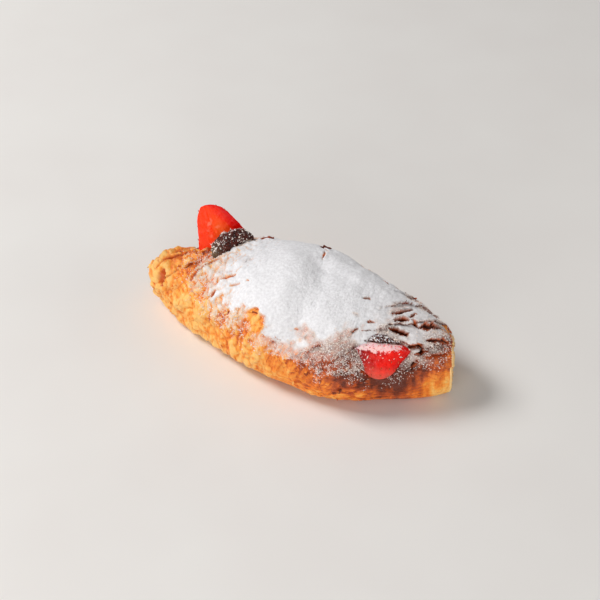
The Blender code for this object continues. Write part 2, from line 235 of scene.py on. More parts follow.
# Cracks and edges seen in the crust: start, end, width, depth, lift of the lip beside it.
CRACKS = (
    ((0.0549, -0.0056, 0.0424), (0.0630, 0.0058, 0.0410), 0.0021, 0.0034, 0.0009),
    ((0.0632, -0.0014, 0.0408), (0.0655, 0.0034, 0.0406), 0.0018, 0.0026, 0.0006),
    ((0.0571, -0.0078, 0.0408), (0.0639, -0.0023, 0.0405), 0.0040, 0.0038, 0.0010),
    ((0.0640, -0.0022, 0.0404), (0.0692, -0.0026, 0.0376), 0.0020, 0.0024, 0.0007),
    ((0.0563, -0.0125, 0.0404), (0.0668, -0.0101, 0.0372), 0.0040, 0.0038, 0.0011),
    ((0.0687, -0.0037, 0.0358), (0.0778, 0.0065, 0.0344), 0.0044, 0.0022, 0.0011),
    ((0.0675, -0.0130, 0.0317), (0.0738, -0.0085, 0.0318), 0.0030, 0.0028, 0.0008),
    ((0.0735, -0.0072, 0.0325), (0.0843, 0.0015, 0.0296), 0.0030, 0.0018, 0.0009),
    ((0.0716, -0.0146, 0.0300), (0.0778, -0.0100, 0.0305), 0.0018, 0.0018, 0.0006),
    ((0.0760, -0.0125, 0.0280), (0.0861, -0.0040, 0.0270), 0.0022, 0.0014, 0.0007),
    ((0.0709, 0.0112, 0.0352), (0.0760, 0.0120, 0.0335), 0.0020, 0.0022, 0.0007),
    ((-0.0560, -0.0120, 0.0295), (-0.0440, 0.0005, 0.0410), 0.0015, 0.0015, 0.0009),
    ((-0.0632, -0.0058, 0.0322), (-0.0556, 0.0041, 0.0357), 0.0013, 0.0014, 0.0008),
    ((-0.0373, -0.0135, 0.0390), (-0.0288, -0.0107, 0.0426), 0.0016, 0.0009, 0.0005),
    ((-0.0390, -0.0209, 0.0319), (-0.0367, -0.0183, 0.0361), 0.0018, 0.0012, 0.0006),
    ((-0.0302, -0.0171, 0.0395), (-0.0238, -0.0148, 0.0421), 0.0012, 0.0006, 0.0003),
    ((-0.0215, -0.0140, 0.0435), (-0.0192, -0.0132, 0.0445), 0.0011, 0.0012, 0.0003),
    ((-0.0810, 0.0010, 0.0275), (-0.0635, 0.0088, 0.0332), 0.0015, 0.0018, 0.0011),
    ((-0.0771, -0.0052, 0.0268), (-0.0762, -0.0100, 0.0180), 0.0074, 0.0026, 0.0007),
    ((0.0498, -0.0325, 0.0262), (0.0560, -0.0290, 0.0196), 0.0026, 0.0024, 0.0002),
    ((0.0388, -0.0040, 0.0458), (0.0428, -0.0022, 0.0456), 0.0011, 0.0012, 0.0005),
    ((0.0462, -0.0158, 0.0430), (0.0500, -0.0140, 0.0425), 0.0014, 0.0014, 0.0004),
    ((0.0416, -0.0240, 0.0403), (0.0436, -0.0205, 0.0418), 0.0012, 0.0016, 0.0006),
    ((-0.0526, -0.0156, 0.0296), (-0.0488, -0.0202, 0.0265), 0.0016, 0.0012, 0.0006),
    ((-0.0130, -0.0272, 0.0372), (-0.0075, -0.0272, 0.0375), 0.0013, 0.0016, 0.0007),
    ((0.0012, 0.0262, 0.0458), (0.0090, 0.0208, 0.0487), 0.0015, 0.0024, 0.0003),
    ((0.0070, 0.0200, 0.0489), (0.0092, 0.0122, 0.0496), 0.0013, 0.0017, 0.0003),
    ((0.0400, 0.0175, 0.0440), (0.0460, 0.0151, 0.0448), 0.0011, 0.0012, 0.0005),
)
CRACK_TAPER = 0.6
CRACK_NARROWEST = 0.05  # at its ends, as a share of its width
CRACK_WAVE = (0.0026, 0.0005)  # of a crack as wide as the next size, more of a wider one
CRACK_WAVE_WIDTH = 0.0020
CRACK_REACH = 0.006
CRACK_LIP_WIDTH = 0.0009
DEEP_CRACK = 0.0016  # a crack this deep is bare inside and darkest with painted shade, and a shallower one less so
CRACK_WALL = (-1.2, -0.8)  # its steep side and its slope, in half widths
CRACK_SLOPE = (-0.7, 1.2)
CRACK_START = (0.0, 0.35)
CRACK_STOP = (0.5, 1.2)
CRACK_BARENESS = 1.8
LIP_OFFSET = 0.7
LIP_REACH = 0.001

# Chocolate crumbs and stains on the crust: middle, radius.
SMEARS = (
    ((-0.0655, 0.0135, 0.0292), 0.0052),
    ((-0.0570, 0.0110, 0.0330), 0.0040),
    ((0.0530, -0.0300, 0.0220), 0.0020),
)

# ---- The strawberry halves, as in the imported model, in its frame ----
STANDING = {
    "stem": (-0.0455, 0.0155, 0.0262),
    "tip": (-0.0617, 0.0198, 0.0567),
    "face": (0.40, -0.85, 0.34),
    "half_width": 0.0193,
    "depth": 0.0125,
    "bluntness": 0.32,
    "round_tip": 0.20,
    "shoulder": ((-0.0642, 0.0174, 0.0554), (-0.84, 0.12, 0.53), 0.0045, 0.0014),
}
TUCKED = {
    "stem": (0.0550, -0.0177, 0.0342),
    "tip": (0.0582, -0.0290, 0.0198),
    "face": (-0.42, 0.90, -0.30),
    "half_width": 0.0178,
    "depth": 0.0084,
    "bluntness": 0.34,
    "round_tip": 0.34,
}
SHOULDER = 0.82
SHOULDER_TURN = 0.55
BERRY_VOXEL = 0.00042
# The cut face: how deep below it, and how squarely facing, a point still belongs to it.
CUT_DEPTH = (0.0011, 0.0003)
CUT_FACING = (0.3, 0.8)
SKIN_BUMPS = (0.0022, 0.00010)
# Size of the pale spots of painted highlight on the cut flesh:
HIGHLIGHT_MOTTLE_SIZE = 0.0030
VEIN_WIDTH = 0.22  # across the face, as a share of its half width
VEINS_ALONG = 2.2
VEIN_LIFT = 0.00010
CORE_DEPTH = 0.0006
# Patches of the cut face: middle and width, across it and from the tip.
CORE = ((-0.15, 0.35), (0.45, 0.30))
# The pale spot is a painted highlight on the cut flesh.
PAINTED_HIGHLIGHT_SPOT = ((0.20, 0.30), (0.38, 0.20))
SEED_SPACING = 0.0034
SEEDS_TOP = 0.0305  # above it sugar hides the tucked half's seeds
SEED_SIZE = (0.00065, 0.00040, 0.00028)
SEED_DIMPLE = 0.00040
SEED_DIMPLE_WIDTH = 0.0009

SOFTENING = 14  # rounds of smoothing of a finely meshed copy

FILLING_VOXEL = 0.00055
CRUMBLE = (0.0042, 0.0006)
GRIT = (0.0017, 0.0006)
# A pale painted sheen on the filling: its radius and middle.
SHEEN_RADIUS = 0.0045
SHEEN_SPOT = (-0.0508, 0.0030, 0.0395)
DUSTED_LEFT = 0.06  # the share of sugar on its left lump, and on its right one
DUSTED_RIGHT = 0.36
DUSTED_FACING = (0.0, 0.6)

POCKET_DEPTH = 0.0040  # how far the crust goes in under the filling and the strawberries
POCKET_EDGE = (-0.0008, 0.0004)
POCKET_SEARCH = 0.006

# ---- Loose flakes and sugar ----
# What is drawn at random has two values: the least, and how much more it is at most.
FLAKE_COUNT = 230
FLAKES_REACH = (-0.070, 0.060)
FLAKES_LOWEST = 0.004
FLAKE_COLUMNS = 9
FLAKE_ROWS = 4
FLAKE_THICKNESS = 0.00030
FLAKE_SUNK = 0.0006
FLAKE_RAG = 0.0002
FLAKE_RAGGED = 0.4
FLAKE_NARROWEST = 0.08
FLAKE_BOW = 0.25
FLAKE_ROOTED = 0.3  # the share of its width behind its place
FLAKE_CURL = 1.5
FLAKE_THINNING = 0.7
FLAKE_LENGTH = (0.0018, 0.0042)
FLAKE_SLIMNESS = (0.22, 0.22)
FLAKE_LIFT = (0.00015, 0.0007)
FLAKE_SCATTER = 0.35
FLAKE_TONE = 0.5
# Flakes seen singly: place, way the free edge points, length, width, lift, tone.
NAMED_FLAKES = (
    ((0.0050, 0.0240, 0.0475), (-0.1, 0.9, 0.3), 0.0084, 0.0012, 0.0013, -1.3),
    ((-0.0275, 0.0225, 0.0440), (-0.42, 0.9, 0.0), 0.0072, 0.0005, 0.0006, -1.1),
    ((0.0800, 0.0020, 0.0305), (0.25, -0.85, -0.25), 0.0115, 0.0042, 0.0005, 1.3),
    ((0.0812, 0.0050, 0.0302), (0.20, -0.85, -0.25), 0.0080, 0.0034, 0.0009, 1.0),
    ((0.0790, 0.0092, 0.0312), (0.10, 0.83, 0.10), 0.0060, 0.0026, 0.0008, 0.7),
)
GRAIN_COUNT = 13500
GRAIN_SIZE = (0.00011, 0.00026)
GRAINS_FACING = -0.1
GRAIN_JITTER = 0.0003
GRAIN_STANDING = 0.35  # how far its middle is above the crust, in sizes
GRAINS_END = (0.92, 0.72)  # on thicker sugar than this no grains lie
GRAIN_SHAPE = np.kron(np.eye(3), [[1], [-1]])  # two corners on each axis
GRAIN_FACES = np.array([
    (0, 2, 4), (2, 1, 4), (1, 3, 4), (3, 0, 4), (2, 0, 5), (1, 2, 5), (3, 1, 5), (0, 3, 5)
])
CRYSTAL_SIZE = (0.00015, 0.00032)
CRYSTAL_SHAPE = (3.0, 1.0, 0.8)  # crystals on the filling are long
CRYSTAL_SHARES = (0.140, 0.04)  # of the filling's points and of the tucked strawberry's
CRYSTALS_LOWEST = 0.030
CRYSTALS_SPARSER_RIGHT = 0.7
CLUMPING_SIZE = 0.003

# ---- Finish of the crust: sizes of its patterns, and where along x or up z it changes ----
BAKE_SIZE = 0.009
FINE_SIZE = 0.0014
MOTTLED_SIZE = 0.0026
CRACKLE_SIZE = 0.0008
RIPPLE_SIZE = 0.0018
UPRIGHT_SIZE = 0.0034
POWDER_SIZE = 0.0009
SPECK_CLUMP_SIZE = 0.0042
SMEAR_SIZE = 0.0016
CRUST_BUMP = 0.0005
SUGAR_MOTTLE = 0.0013
GRAIN_MOTTLE = 0.002
BROWNER_X = (-0.012, 0.052)
BROWNER_Z = (0.006, 0.024)
PALER_X = (0.0, -0.030)
SHELF_X = (-0.045, -0.056)
SHELF_Z = (0.023, 0.031)
FLANK_X = (0.050, 0.060)
FLANK_Z = (0.030, 0.024)
END_X = (0.070, 0.083)
END_Z = (0.034, 0.026)
SOFT_CREASE_X = (-0.040, 0.010)
FAINT_CREASE_X = (0.060, 0.068)
MOTTLED_X = (0.010, -0.020)
LEVEL_X = (-0.020, 0.010)
LEVEL_Z = (0.017, 0.010)
RIPPLED_X = (-0.006, 0.012)
HOLLOW_BROWN_X = (-0.062, -0.020)
CREVICE_SHADE_X = (-0.074, -0.066)

# ---- Finishes of the filling, the strawberries and the floor ----
COCOA_MOTTLE = 0.0016
COCOA_GLOSS_SIZE = 0.0012
COCOA_GRAIN = 0.0008
COCOA_BUMP = 0.0004
SKIN_MOTTLE = 0.004
SKIN_GLOSS_SIZE = 0.003
SKIN_PORE = 0.0009
SKIN_BUMP = 0.00012
SKIN_SCATTER = (0.010, 0.0012, 0.0006)
FLOOR_MOTTLE = 0.08
# Where the tucked strawberry is sugared, and where painted shade darkens it at its left and its right.
SUGARED_TOP = (0.0334, 0.0360)
SUGARED_X = (0.060, 0.044)
SHADED_LEFT_X = (0.060, 0.049)
SHADED_RIGHT_X = (0.060, 0.068)

# ---- Colours, as a screen shows them ----
PALE_GOLD = (255, 200, 114)
GOLD = (255, 170, 70)
ORANGE = (244, 130, 36)
RUST = (190, 82, 28)
DARK_BROWN = (104, 40, 16)
HOLLOW_ORANGE = (206, 80, 8)
HOLLOW_BROWN = (214, 100, 44)
CREVICE_SHADE = (74, 26, 12)
CREAM = (255, 218, 150)
SMEAR_BROWN = (150, 54, 22)
SUGAR_WHITE = (249, 249, 252)
SUGAR_GREY = (226, 225, 228)
SUGAR_THIN_AND_SHADED = (228, 212, 204)
SUGAR_GRAIN = (242, 222, 204)
SUGAR_PINK = (250, 214, 214)
COCOA_DARK = (16, 4, 4)
COCOA = (104, 36, 24)
COCOA_GRIT = (112, 62, 50)
COCOA_SHEEN = (138, 128, 104)
FLESH = (255, 60, 6)
FLESH_DEEP = (222, 12, 4)
FLESH_RIM = (206, 6, 6)
FLESH_VEIN = (255, 110, 40)
FLESH_CORE = (255, 124, 40)
FLESH_HIGHLIGHT = (255, 150, 120)
SKIN = (250, 34, 20)
SKIN_DEEP = (196, 6, 10)
SKIN_SHADE_RIGHT = (140, 8, 12)
SKIN_SHADE_LEFT = (120, 10, 10)
SKIN_TIP = (214, 112, 92)
SEED_ORANGE = (226, 92, 44)
SEED_RED = (190, 44, 26)
FLOOR_GREY = (236, 233, 230)
FLOOR_PALE = (239, 237, 234)
# How strongly the cut flesh, the bare skin and the sugared skin give off their own colour as emission:
# a painted glow that brightens them.
FLESH_PAINTED_GLOW = 0.23
BARE_SKIN_PAINTED_GLOW = 0.07
SUGARED_SKIN_PAINTED_GLOW = 0.21

# ---- Stage ----
FLOOR_HALF = 3.0
FLOOR_DROP = 0.0002
# Name, place, size, power and tint of each light.
LIGHTS = (
    ("window", (-1.30, -0.12, 1.36), 0.70, 25.5, (1.0, 0.987, 0.975)),
    ("front", (0.16, -1.06, 0.18), 0.70, 7.3, (1.0, 0.975, 0.95)),
    ("right", (1.05, 0.16, 0.30), 0.70, 2.6, (1.0, 0.975, 0.95)),
)
ROOM_LIGHT = 0.22
ROOM_TINT = (1.0, 0.99, 0.98, 1.0)
CAMERA_AZIMUTH = 25
CAMERA_HEIGHT_ANGLE = 41
CAMERA_DISTANCE = 0.745
CAMERA_LENS = 85
CAMERA_TARGET = (0.0002, 0.0043, 0.025)
CAMERA_SENSOR = 36
CAMERA_NEAR = 0.01


# ---- Numbers ----
def smooth_step(low, high, value):
    """0 below low, 1 above high, and a smooth rise between them."""
    t = np.clip((value - low) / (high - low), 0.0, 1.0)
    return t * t * (3 - 2 * t)


def bell(value, width):
    """1 at 0, and a smooth fall over the width on both sides."""
    return np.exp(-((value / width) ** 2))


def unit(rows):
    """Rows scaled to length 1."""
    return rows / np.maximum(np.linalg.norm(rows, axis=-1, keepdims=True), 1e-12)


def read(table, at):
    """A table of (place, value) rows read at places."""
    places, values = np.array(table).T
    return np.interp(at, places, values)


def distance(points, middle):
    """Each point's distance from one place."""
    return np.linalg.norm(points - np.array(middle), axis=-1)


def within(points, region):
    """How far points are inside a region, which has a range along x, along y and up z."""
    return np.prod([smooth_step(*span, row) for span, row in zip(region, points.T)], axis=0)


def cloud(points, size, seed=0, layers=1):
    """Smooth noise from about -1 to 1, with lumps of one size and finer layers over them."""
    shift = Vector((7.3, 3.1, 5.7)) * seed
    return 1.5 * np.array([noise.fractal(Vector(p) + shift, 0.9, 2.1, layers) for p in points / size])


def swell(points, form, seed, layers=1):
    """Smooth noise whose lumps have a form."""
    size, height = form
    return height * cloud(points, size, seed, layers)


def pillows(points, size, seed=0, layers=2):
    """Round pillows with sharp creases between them: 0 in a crease, 1 on the highest ones."""
    shift = Vector((7.3, 3.1, 5.7)) * seed
    height = [noise.turbulence(Vector(p) + shift, layers, True) for p in points / size]
    return np.minimum(1.5 * np.array(height), 1.0)


# ---- The roll's outline ----
def hermite(rows, at):
    """The smooth curve through rows, whose first column rises, read at one place."""
    table = np.array(rows)
    knots, values = table[:, 0], table[:, 1:]
    slopes = np.gradient(values, knots, axis=0)
    i = int(np.clip(np.searchsorted(knots, at) - 1, 0, len(knots) - 2))
    span = knots[i + 1] - knots[i]
    t = (at - knots[i]) / span
    return (
        (2 * t**3 - 3 * t**2 + 1) * values[i]
        + (t**3 - 2 * t**2 + t) * span * slopes[i]
        + (3 * t**2 - 2 * t**3) * values[i + 1]
        + (t**3 - t**2) * span * slopes[i + 1]
    )


def ring(x):
    """Points round the roll at x, from the back over the crown, sparser along the underside."""
    front, back, crown, underside = hermite(STATIONS, x)
    angle = np.linspace(0, 2 * math.pi, OUTLINE_STEPS)
    across, up = np.cos(angle), np.sin(angle)
    power = np.where(up > 0, DOME_POWER, BASE_POWER)
    outline_y = np.sign(across) * np.abs(across) ** (2 / power) * np.where(across > 0, back, front)
    middle = underside + WIDEST_LEVEL * (crown - underside)
    rise = np.where(up > 0, crown - middle, middle - underside + BASE_CUT)
    outline_z = np.maximum(middle + np.sign(up) * np.abs(up) ** (2 / power) * rise, underside)
    steps = np.hypot(np.diff(outline_y), np.diff(outline_z))
    steps[outline_z[1:] < underside + UNDERSIDE_DEPTH] *= UNDERSIDE_WEIGHT
    walked = np.concatenate([[0], np.cumsum(steps)])
    wanted = np.linspace(0, walked[-1], RING_POINTS, endpoint=False)
    y = np.interp(wanted, walked, outline_y)
    z = np.interp(wanted, walked, outline_z)
    lean = LOW_END_LEAN * (1 - smooth_step(LOW_END, LOW_END + END_REACH, x))
    slant = BLUNT_END_SLANT * smooth_step(BLUNT_END - END_REACH, BLUNT_END, x)
    return np.column_stack([x - lean * (z - LOW_END_MIDDLE) - slant * y, y, z])


def end_face(last, outward):
    """Rings that close an end, and at each point how far it is through its rolled layer."""
    middle = last.mean(axis=0)
    turn = np.arange(RING_POINTS) / RING_POINTS
    rings, layers = [], []
    for scale in 1 - np.arange(1, CAP_STEPS + 1) / (CAP_STEPS + 1):
        points = middle + (last - middle) * scale
        layer = (scale * CAP_LAYERS + turn + swell(points, CAP_WANDER, 3)) % 1.0
        fade = smooth_step(*CAP_OUTER_FADE, scale) * smooth_step(*CAP_INNER_FADE, scale)
        points[:, 0] += outward * (read(CAP_FACE, scale) + CAP_LAYER_STEP * (layer - 0.5) * fade)
        rings.append(points)
        layers.append(1 - fade * (1 - layer))
    return rings, layers, middle + np.array([outward * CAP_FACE[0][1], 0, 0])


def roll_grid():
    """The smooth roll as rows of rings, closed at both ends, and what is known of each point."""
    walk = np.sin(np.linspace(-1, 1, RINGS) * RING_CROWDING) / math.sin(RING_CROWDING)
    stations = (LOW_END + BLUNT_END) / 2 + (BLUNT_END - LOW_END) / 2 * walk
    rings = [ring(x) for x in stations]
    low_rings, low_layers, low_tip = end_face(rings[0], -1)
    blunt_rings, blunt_layers, blunt_tip = end_face(rings[-1], 1)
    cap = np.arange(1, CAP_STEPS + 1) / CAP_STEPS
    inward = np.concatenate([cap[::-1], np.zeros(RINGS), cap])
    station = np.concatenate([np.full(CAP_STEPS, LOW_END), stations, np.full(CAP_STEPS, BLUNT_END)])
    layer = low_layers[::-1] + [np.ones(RING_POINTS)] * RINGS + blunt_layers
    return {
        "grid": np.array(low_rings[::-1] + rings + blunt_rings),
        "tips": np.array([low_tip, blunt_tip]),
        "inward": np.repeat(inward, RING_POINTS),
        "station": np.repeat(station, RING_POINTS),
        "layer": np.concatenate(layer),
    }


def grid_normals(grid):
    """Outward normals of a grid whose columns close round the roll."""
    round_the_roll = np.roll(grid, -1, axis=1) - np.roll(grid, 1, axis=1)
    along = np.gradient(grid, axis=0)
    return unit(np.cross(round_the_roll, along))


def grid_faces(rows, columns):
    """Faces of the grid, and of the fans that close its two ends with one more point each."""
    index = np.arange(rows * columns).reshape(rows, columns)
    beside = np.roll(index, -1, axis=1)
    quads = np.stack([index[:-1], beside[:-1], beside[1:], index[1:]], axis=-1).reshape(-1, 4)
    low_tip = np.full(columns, rows * columns)
    low_fan = np.column_stack([beside[0], index[0], low_tip])
    blunt_fan = np.column_stack([index[-1], beside[-1], low_tip + 1])
    return quads.tolist() + low_fan.tolist() + blunt_fan.tolist()


# ---- The crust's relief ----
def distance_to_line(points, start, end):
    """Each point's share of the way from start to end, and its offset from that stretch."""
    start, end = np.array(start), np.array(end)
    share = np.clip((points - start) @ (end - start) / np.sum((end - start) ** 2), 0.0, 1.0)
    return share, points - (start + share[:, None] * (end - start))


def library_noise(points, scale, layers=None):
    """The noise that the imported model's own relief has, so that the large forms agree."""
    if layers:
        return np.array([noise.fractal(Vector(p), *layers) for p in points * scale])
    return np.array([noise.noise(Vector(p)) for p in points * scale])


def mouth_lips(points):
    """The crust turned up round the two mouths."""
    lift = np.zeros(len(points))
    for start, end, half_width, rise in MOUTHS:
        _, away = distance_to_line(points, start, end)
        lift += rise * bell(np.linalg.norm(away, axis=1) - half_width, LIP_WIDTH)
    return lift


def wrapped(points):
    """How far round the roll each point is from its crest, and how steeply its side falls."""
    x, y, z = points.T
    stations = np.linspace(LOW_END, BLUNT_END, 200)
    crown = np.interp(x, stations, [hermite(STATIONS, at)[2] for at in stations])
    side = y / (np.abs(y) + WRAP_SOFTENING)
    return y + WRAP_STEEPNESS * (crown - z) * side, side


def sheets(points, normals):
    """The shingled sheets: their lift, their ragged overhang, and where their edges are."""
    wrap, side = wrapped(points)
    across = SHEET_SLANT[0] * points[:, 0] + SHEET_SLANT[1] * wrap
    across = across + SHEET_WANDER * library_noise(points, SHEET_WANDER_SCALE)
    across = across + swell(points, SHEET_RAG, 11, 3)
    turns = np.abs(across) / SHEET_PITCH
    part = turns % 1.0
    rise = np.where(part < SHEET_RISE, part / SHEET_RISE, 1 - smooth_step(SHEET_RISE, 1, part))
    share = SHEET_LEAST + (1 - SHEET_LEAST) * smooth_step(*SHEET_FULL_LIFT, np.abs(points[:, 0]))
    share = share * smooth_step(*FIRST_SHEET, turns)
    outward = np.array([*SHEET_SLANT, 0]) - SHEET_SLANT[1] * WRAP_STEEPNESS * np.outer(side, (0, 0, 1))
    outward = outward - normals * np.sum(outward * normals, axis=1, keepdims=True)
    outward = unit(outward) * np.sign(across)[:, None]
    overhang = smooth_step(OVERHANG_PART[0], SHEET_RISE, part) * (part < OVERHANG_PART[1])
    return {
        "lift": SHEET_LIFT * share * (rise - 0.5),
        "shift": outward * (SHEET_OVERHANG * share * overhang)[:, None],
        "edge": smooth_step(*SHEET_EDGE, part) * share,
        "outward": outward,
    }


def large_relief(points, normals, sheet):
    """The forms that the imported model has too: sheets, lips, the valley and the crags. What thick
    sugar fills comes apart from the rest."""
    crag = library_noise(points, CRAG_SCALE, CRAG_LAYERS) * CRAG_LIFT
    showing = library_noise(points, CRAG_SCALE, (*CRAG_LAYERS[:2], 1)) * CRAG_LIFT * CRAG_SHOWING
    back = smooth_step(*VALLEY_BACK_FADE, points[:, 1])
    valley = -VALLEY_DEPTH * bell(points[:, 0] - VALLEY_X, VALLEY_WIDTH)
    valley = valley * (1 - (1 - VALLEY_BACK_SHARE) * back)
    foot = smooth_step(*FOOT_FADE, points[:, 2]) * (1 - END_FADE * np.abs(normals[:, 0]) ** 3)
    crest = smooth_step(*CREST_FADE, points[:, 2])
    filled = sheet["lift"] * (1 - smooth_step(*SHEET_FULL_LIFT, np.abs(points[:, 0])))
    forms = foot * (showing + sheet["lift"] - filled + mouth_lips(points)) + crest * valley
    return forms, foot * (crag - showing + filled)


def leaf_lines(points):
    """How far each point is along and across the thin leaves of dough. Their edges run round the
    roll at its low end, and aslant at its blunt end."""
    x = points[:, 0]
    wrap, _ = wrapped(points)
    slant = read(LEAF_SLANT, x)
    along = np.sin(slant) * x + np.cos(slant) * wrap
    return along, np.abs(np.cos(slant) * x - np.sin(slant) * wrap)


def long_lumps(along, across, z, size, seed, layers=2):
    """Smooth noise whose lumps lie along the leaves' edges."""
    return cloud(np.column_stack([along / size[0], across / size[1], z / size[0]]), 1.0, seed, layers)


def leaves(points, along, across, leafy):
    """Folds, thin leaves and wrinkles, where their edges run across: the lift, creases, and a tone of
    painted light and shade that is higher on raised dough.
    """
    z = points[:, 2]
    fold = long_lumps(along, across, z, FOLD_SIZE, seed=21)
    fold = fold * (1 - FOLD_FOOT_LOSS * smooth_step(*FOLD_FOOT, z))
    ragged = across / LEAF_PITCH + swell(points, LEAF_WANDER, 7) + swell(points, LEAF_RAG, 8, 2)
    part = ragged % 1.0
    leaf = leafy * (part / LEAF_RISE * (1 - smooth_step(LEAF_RISE, LEAF_DROP, part)) - LEAF_MEAN)
    wrinkle = 1 - np.abs(long_lumps(along, across, z, WRINKLE_SIZE, seed=25))
    lift = FOLD_LIFT * fold + LEAF_LIFT * leaf + WRINKLE_LIFT * wrinkle
    # Painted light and shade: the tone is higher on raised dough, which the finish paints paler.
    tone_and_shade = FOLD_TONE * fold + LEAF_TONE * leaf + WRINKLE_TONE * (wrinkle - WRINKLE_MEAN)
    return np.array([lift, leafy * smooth_step(*LEAF_EDGE, part), tone_and_shade])


def fine_relief(points, along, across):
    """The leaves, level along the foot of the front, and blisters: the lift, creases, and a tone of
    painted light and shade by height.
    """
    x, _, z = points.T
    foot = within(points, FOOT_REGION)
    leafy = smooth_step(*LEAFY, cloud(points, LEAFY_SIZE, seed=9))
    wound = leaves(points, along, across, leafy)
    level = leaves(points, x, -FOOT_LEAF_STEEPNESS * z, FOOT_LEAFY + (1 - FOOT_LEAFY) * leafy)
    lift, crease, tone_and_shade = (1 - foot) * wound + foot * level
    bubbly = smooth_step(*BUBBLY, x)
    bubble = bubbly * (pillows(points, BUBBLE_SIZE, seed=14) - PILLOW_MEAN)
    blister = pillows(points, BLISTER_SIZE, seed=10, layers=1)
    blistered = smooth_step(*BLISTERED, cloud(points, BLISTERED_SIZE, seed=12))
    blistered = np.maximum(blistered, BUBBLY_BLISTERED * bubbly)
    round_blister = blistered * (blister - PILLOW_MEAN)
    lift = lift + BLISTER_LIFT * (1 + BUBBLY_LIFT * bubbly) * round_blister + BUBBLE_LIFT * bubble
    share, more = BLISTER_CREASE_SHARE
    blister_crease = (share + more * bubbly) * blistered * smooth_step(*BLISTER_CREASE, blister)
    tone_and_shade = tone_and_shade + BLISTER_TONE * round_blister + BUBBLE_TONE * bubble
    rough = 1 - CALM_LOSS * within(points, CALM_REGION)
    return rough * lift, rough * np.maximum(crease, blister_crease), rough * tone_and_shade


def sugar_cover(points, normals):
    """How thickly icing sugar lies as a film, and how densely its grains lie beside the film."""
    x, y, z = points.T
    wave = swell(points, SUGAR_WAVE, 61, 3) + swell(points, SUGAR_FRAY, 64)
    above = z - read(SUGAR_LINE, x)
    dusting = DUSTING_SHARE * smooth_step(*DUSTING, above + DUSTING_WAVE * wave)
    dusting = dusting * smooth_step(*DUSTING_END, x)
    film = np.maximum(smooth_step(*SUGAR_EDGE, above + wave), dusting)
    film = film * read(SUGAR_ALONG, x + 0.8 * wave)
    middle, radius = SUGAR_PATCH
    away = (distance(points, middle) + PATCH_WAVE * wave) / radius
    film = np.maximum(film, PATCH_SHARE * smooth_step(*PATCH_EDGE, away))
    above_line = z + SPRINKLE_WAVE * wave - read(SPRINKLE_LINE, x)
    sprinkle = SPRINKLE * smooth_step(*SPRINKLE_Y, y) * smooth_step(*SPRINKLE_EDGE, above_line)
    sprinkle = sprinkle * smooth_step(*SPRINKLE_X, x + wave)
    sprinkle = sprinkle * (1 - SPRINKLE_SPARSER * smooth_step(*SPRINKLE_SPARSER_X, x))
    lying = smooth_step(*LYING, normals[:, 2] + LYING_EASED * film)
    for middle, radius in BARE_PATCHES:
        away = (distance(points, middle) + PATCH_WAVE * wave) / radius
        lying = lying * smooth_step(*BARE_PATCH_EDGE, away)
    return film * lying, np.maximum(sprinkle, GRAINS_BESIDE * film * (1 - film)) * lying


def broken_edge(film, crease, tone_and_shade, along, across, x):
    """The film with its edge on the left broken up: it lies on the raised leaves, not between them.
    Also the gaps between its slabs."""
    slabs = pillows(np.column_stack([along / SLAB_SIZE[0], across / SLAB_SIZE[1], 0 * x]), 1.0, 67)
    gap = smooth_step(*GAP_EDGE, slabs) * smooth_step(*GAP_FILM, film)
    gap = gap * smooth_step(*SLABS_END, x) * (1 - GAP_THICK_LOSS * smooth_step(*GAP_THICK, film))
    edge = 4 * film * (1 - film) * smooth_step(*BROKEN_X, x)
    broken = BROKEN_SHARE * tone_and_shade - BROKEN_SHARE * crease
    return np.clip(film + edge * broken - GAP_BARENESS * gap, 0.0, 1.0), gap


def carve_cracks(points, normals):
    """The named cracks, deepest under the raised lip on one side: how far each point moves along
    its normal, how deep inside it is, and how much of a lip it is."""
    move = np.zeros(len(points))
    inside = np.zeros(len(points))
    lips = np.zeros(len(points))
    wave = swell(points, CRACK_WAVE, 71, 2)
    for start, end, width, depth, lip in CRACKS:
        share, offset = distance_to_line(points, start, end)
        near = np.flatnonzero(np.linalg.norm(offset, axis=1) < CRACK_REACH)
        way = unit(np.array(end) - np.array(start))
        side = unit(np.cross(way, normals[near].mean(axis=0)))
        beyond = np.abs(offset[near] @ way)
        taper = np.maximum(1 - (2 * share[near] - 1) ** 2, 0.0) ** CRACK_TAPER
        half = width / 2 * np.maximum(taper, CRACK_NARROWEST)
        across = offset[near] @ side + wave[near] * math.sqrt(width / CRACK_WAVE_WIDTH)
        part = across / half
        open_part = smooth_step(*CRACK_WALL, part) * (1 - smooth_step(*CRACK_SLOPE, part))
        open_part = open_part * smooth_step(*CRACK_START, taper)
        open_part = open_part * (1 - smooth_step(*CRACK_STOP, beyond / half))
        ridge = bell(across + half + CRACK_LIP_WIDTH * LIP_OFFSET, CRACK_LIP_WIDTH) * taper
        ridge = ridge * bell(beyond, LIP_REACH)
        move[near] += lip * ridge - depth * open_part
        inside[near] = np.maximum(inside[near], open_part * min(depth / DEEP_CRACK, 1.0))
        lips[near] = np.maximum(lips[near], ridge)
    return move, inside, lips


def search_tree(*meshes):
    """One search tree over meshes."""
    vertices, faces = [], []
    for mesh in meshes:
        start = len(vertices)
        vertices += [v.co.copy() for v in mesh.vertices]
        faces += [[start + i for i in polygon.vertices] for polygon in mesh.polygons]
    return BVHTree.FromPolygons(vertices, faces)


def distance_outside(points, tree, search):
    """How far each point is outside a closed mesh, less than 0 inside; search where it is far."""
    away = np.full(len(points), search)
    for i, point in enumerate(points):
        place, normal, _, length = tree.find_nearest(Vector(point), search)
        if place is not None:
            away[i] = math.copysign(length, (Vector(point) - place).dot(normal))
    return away


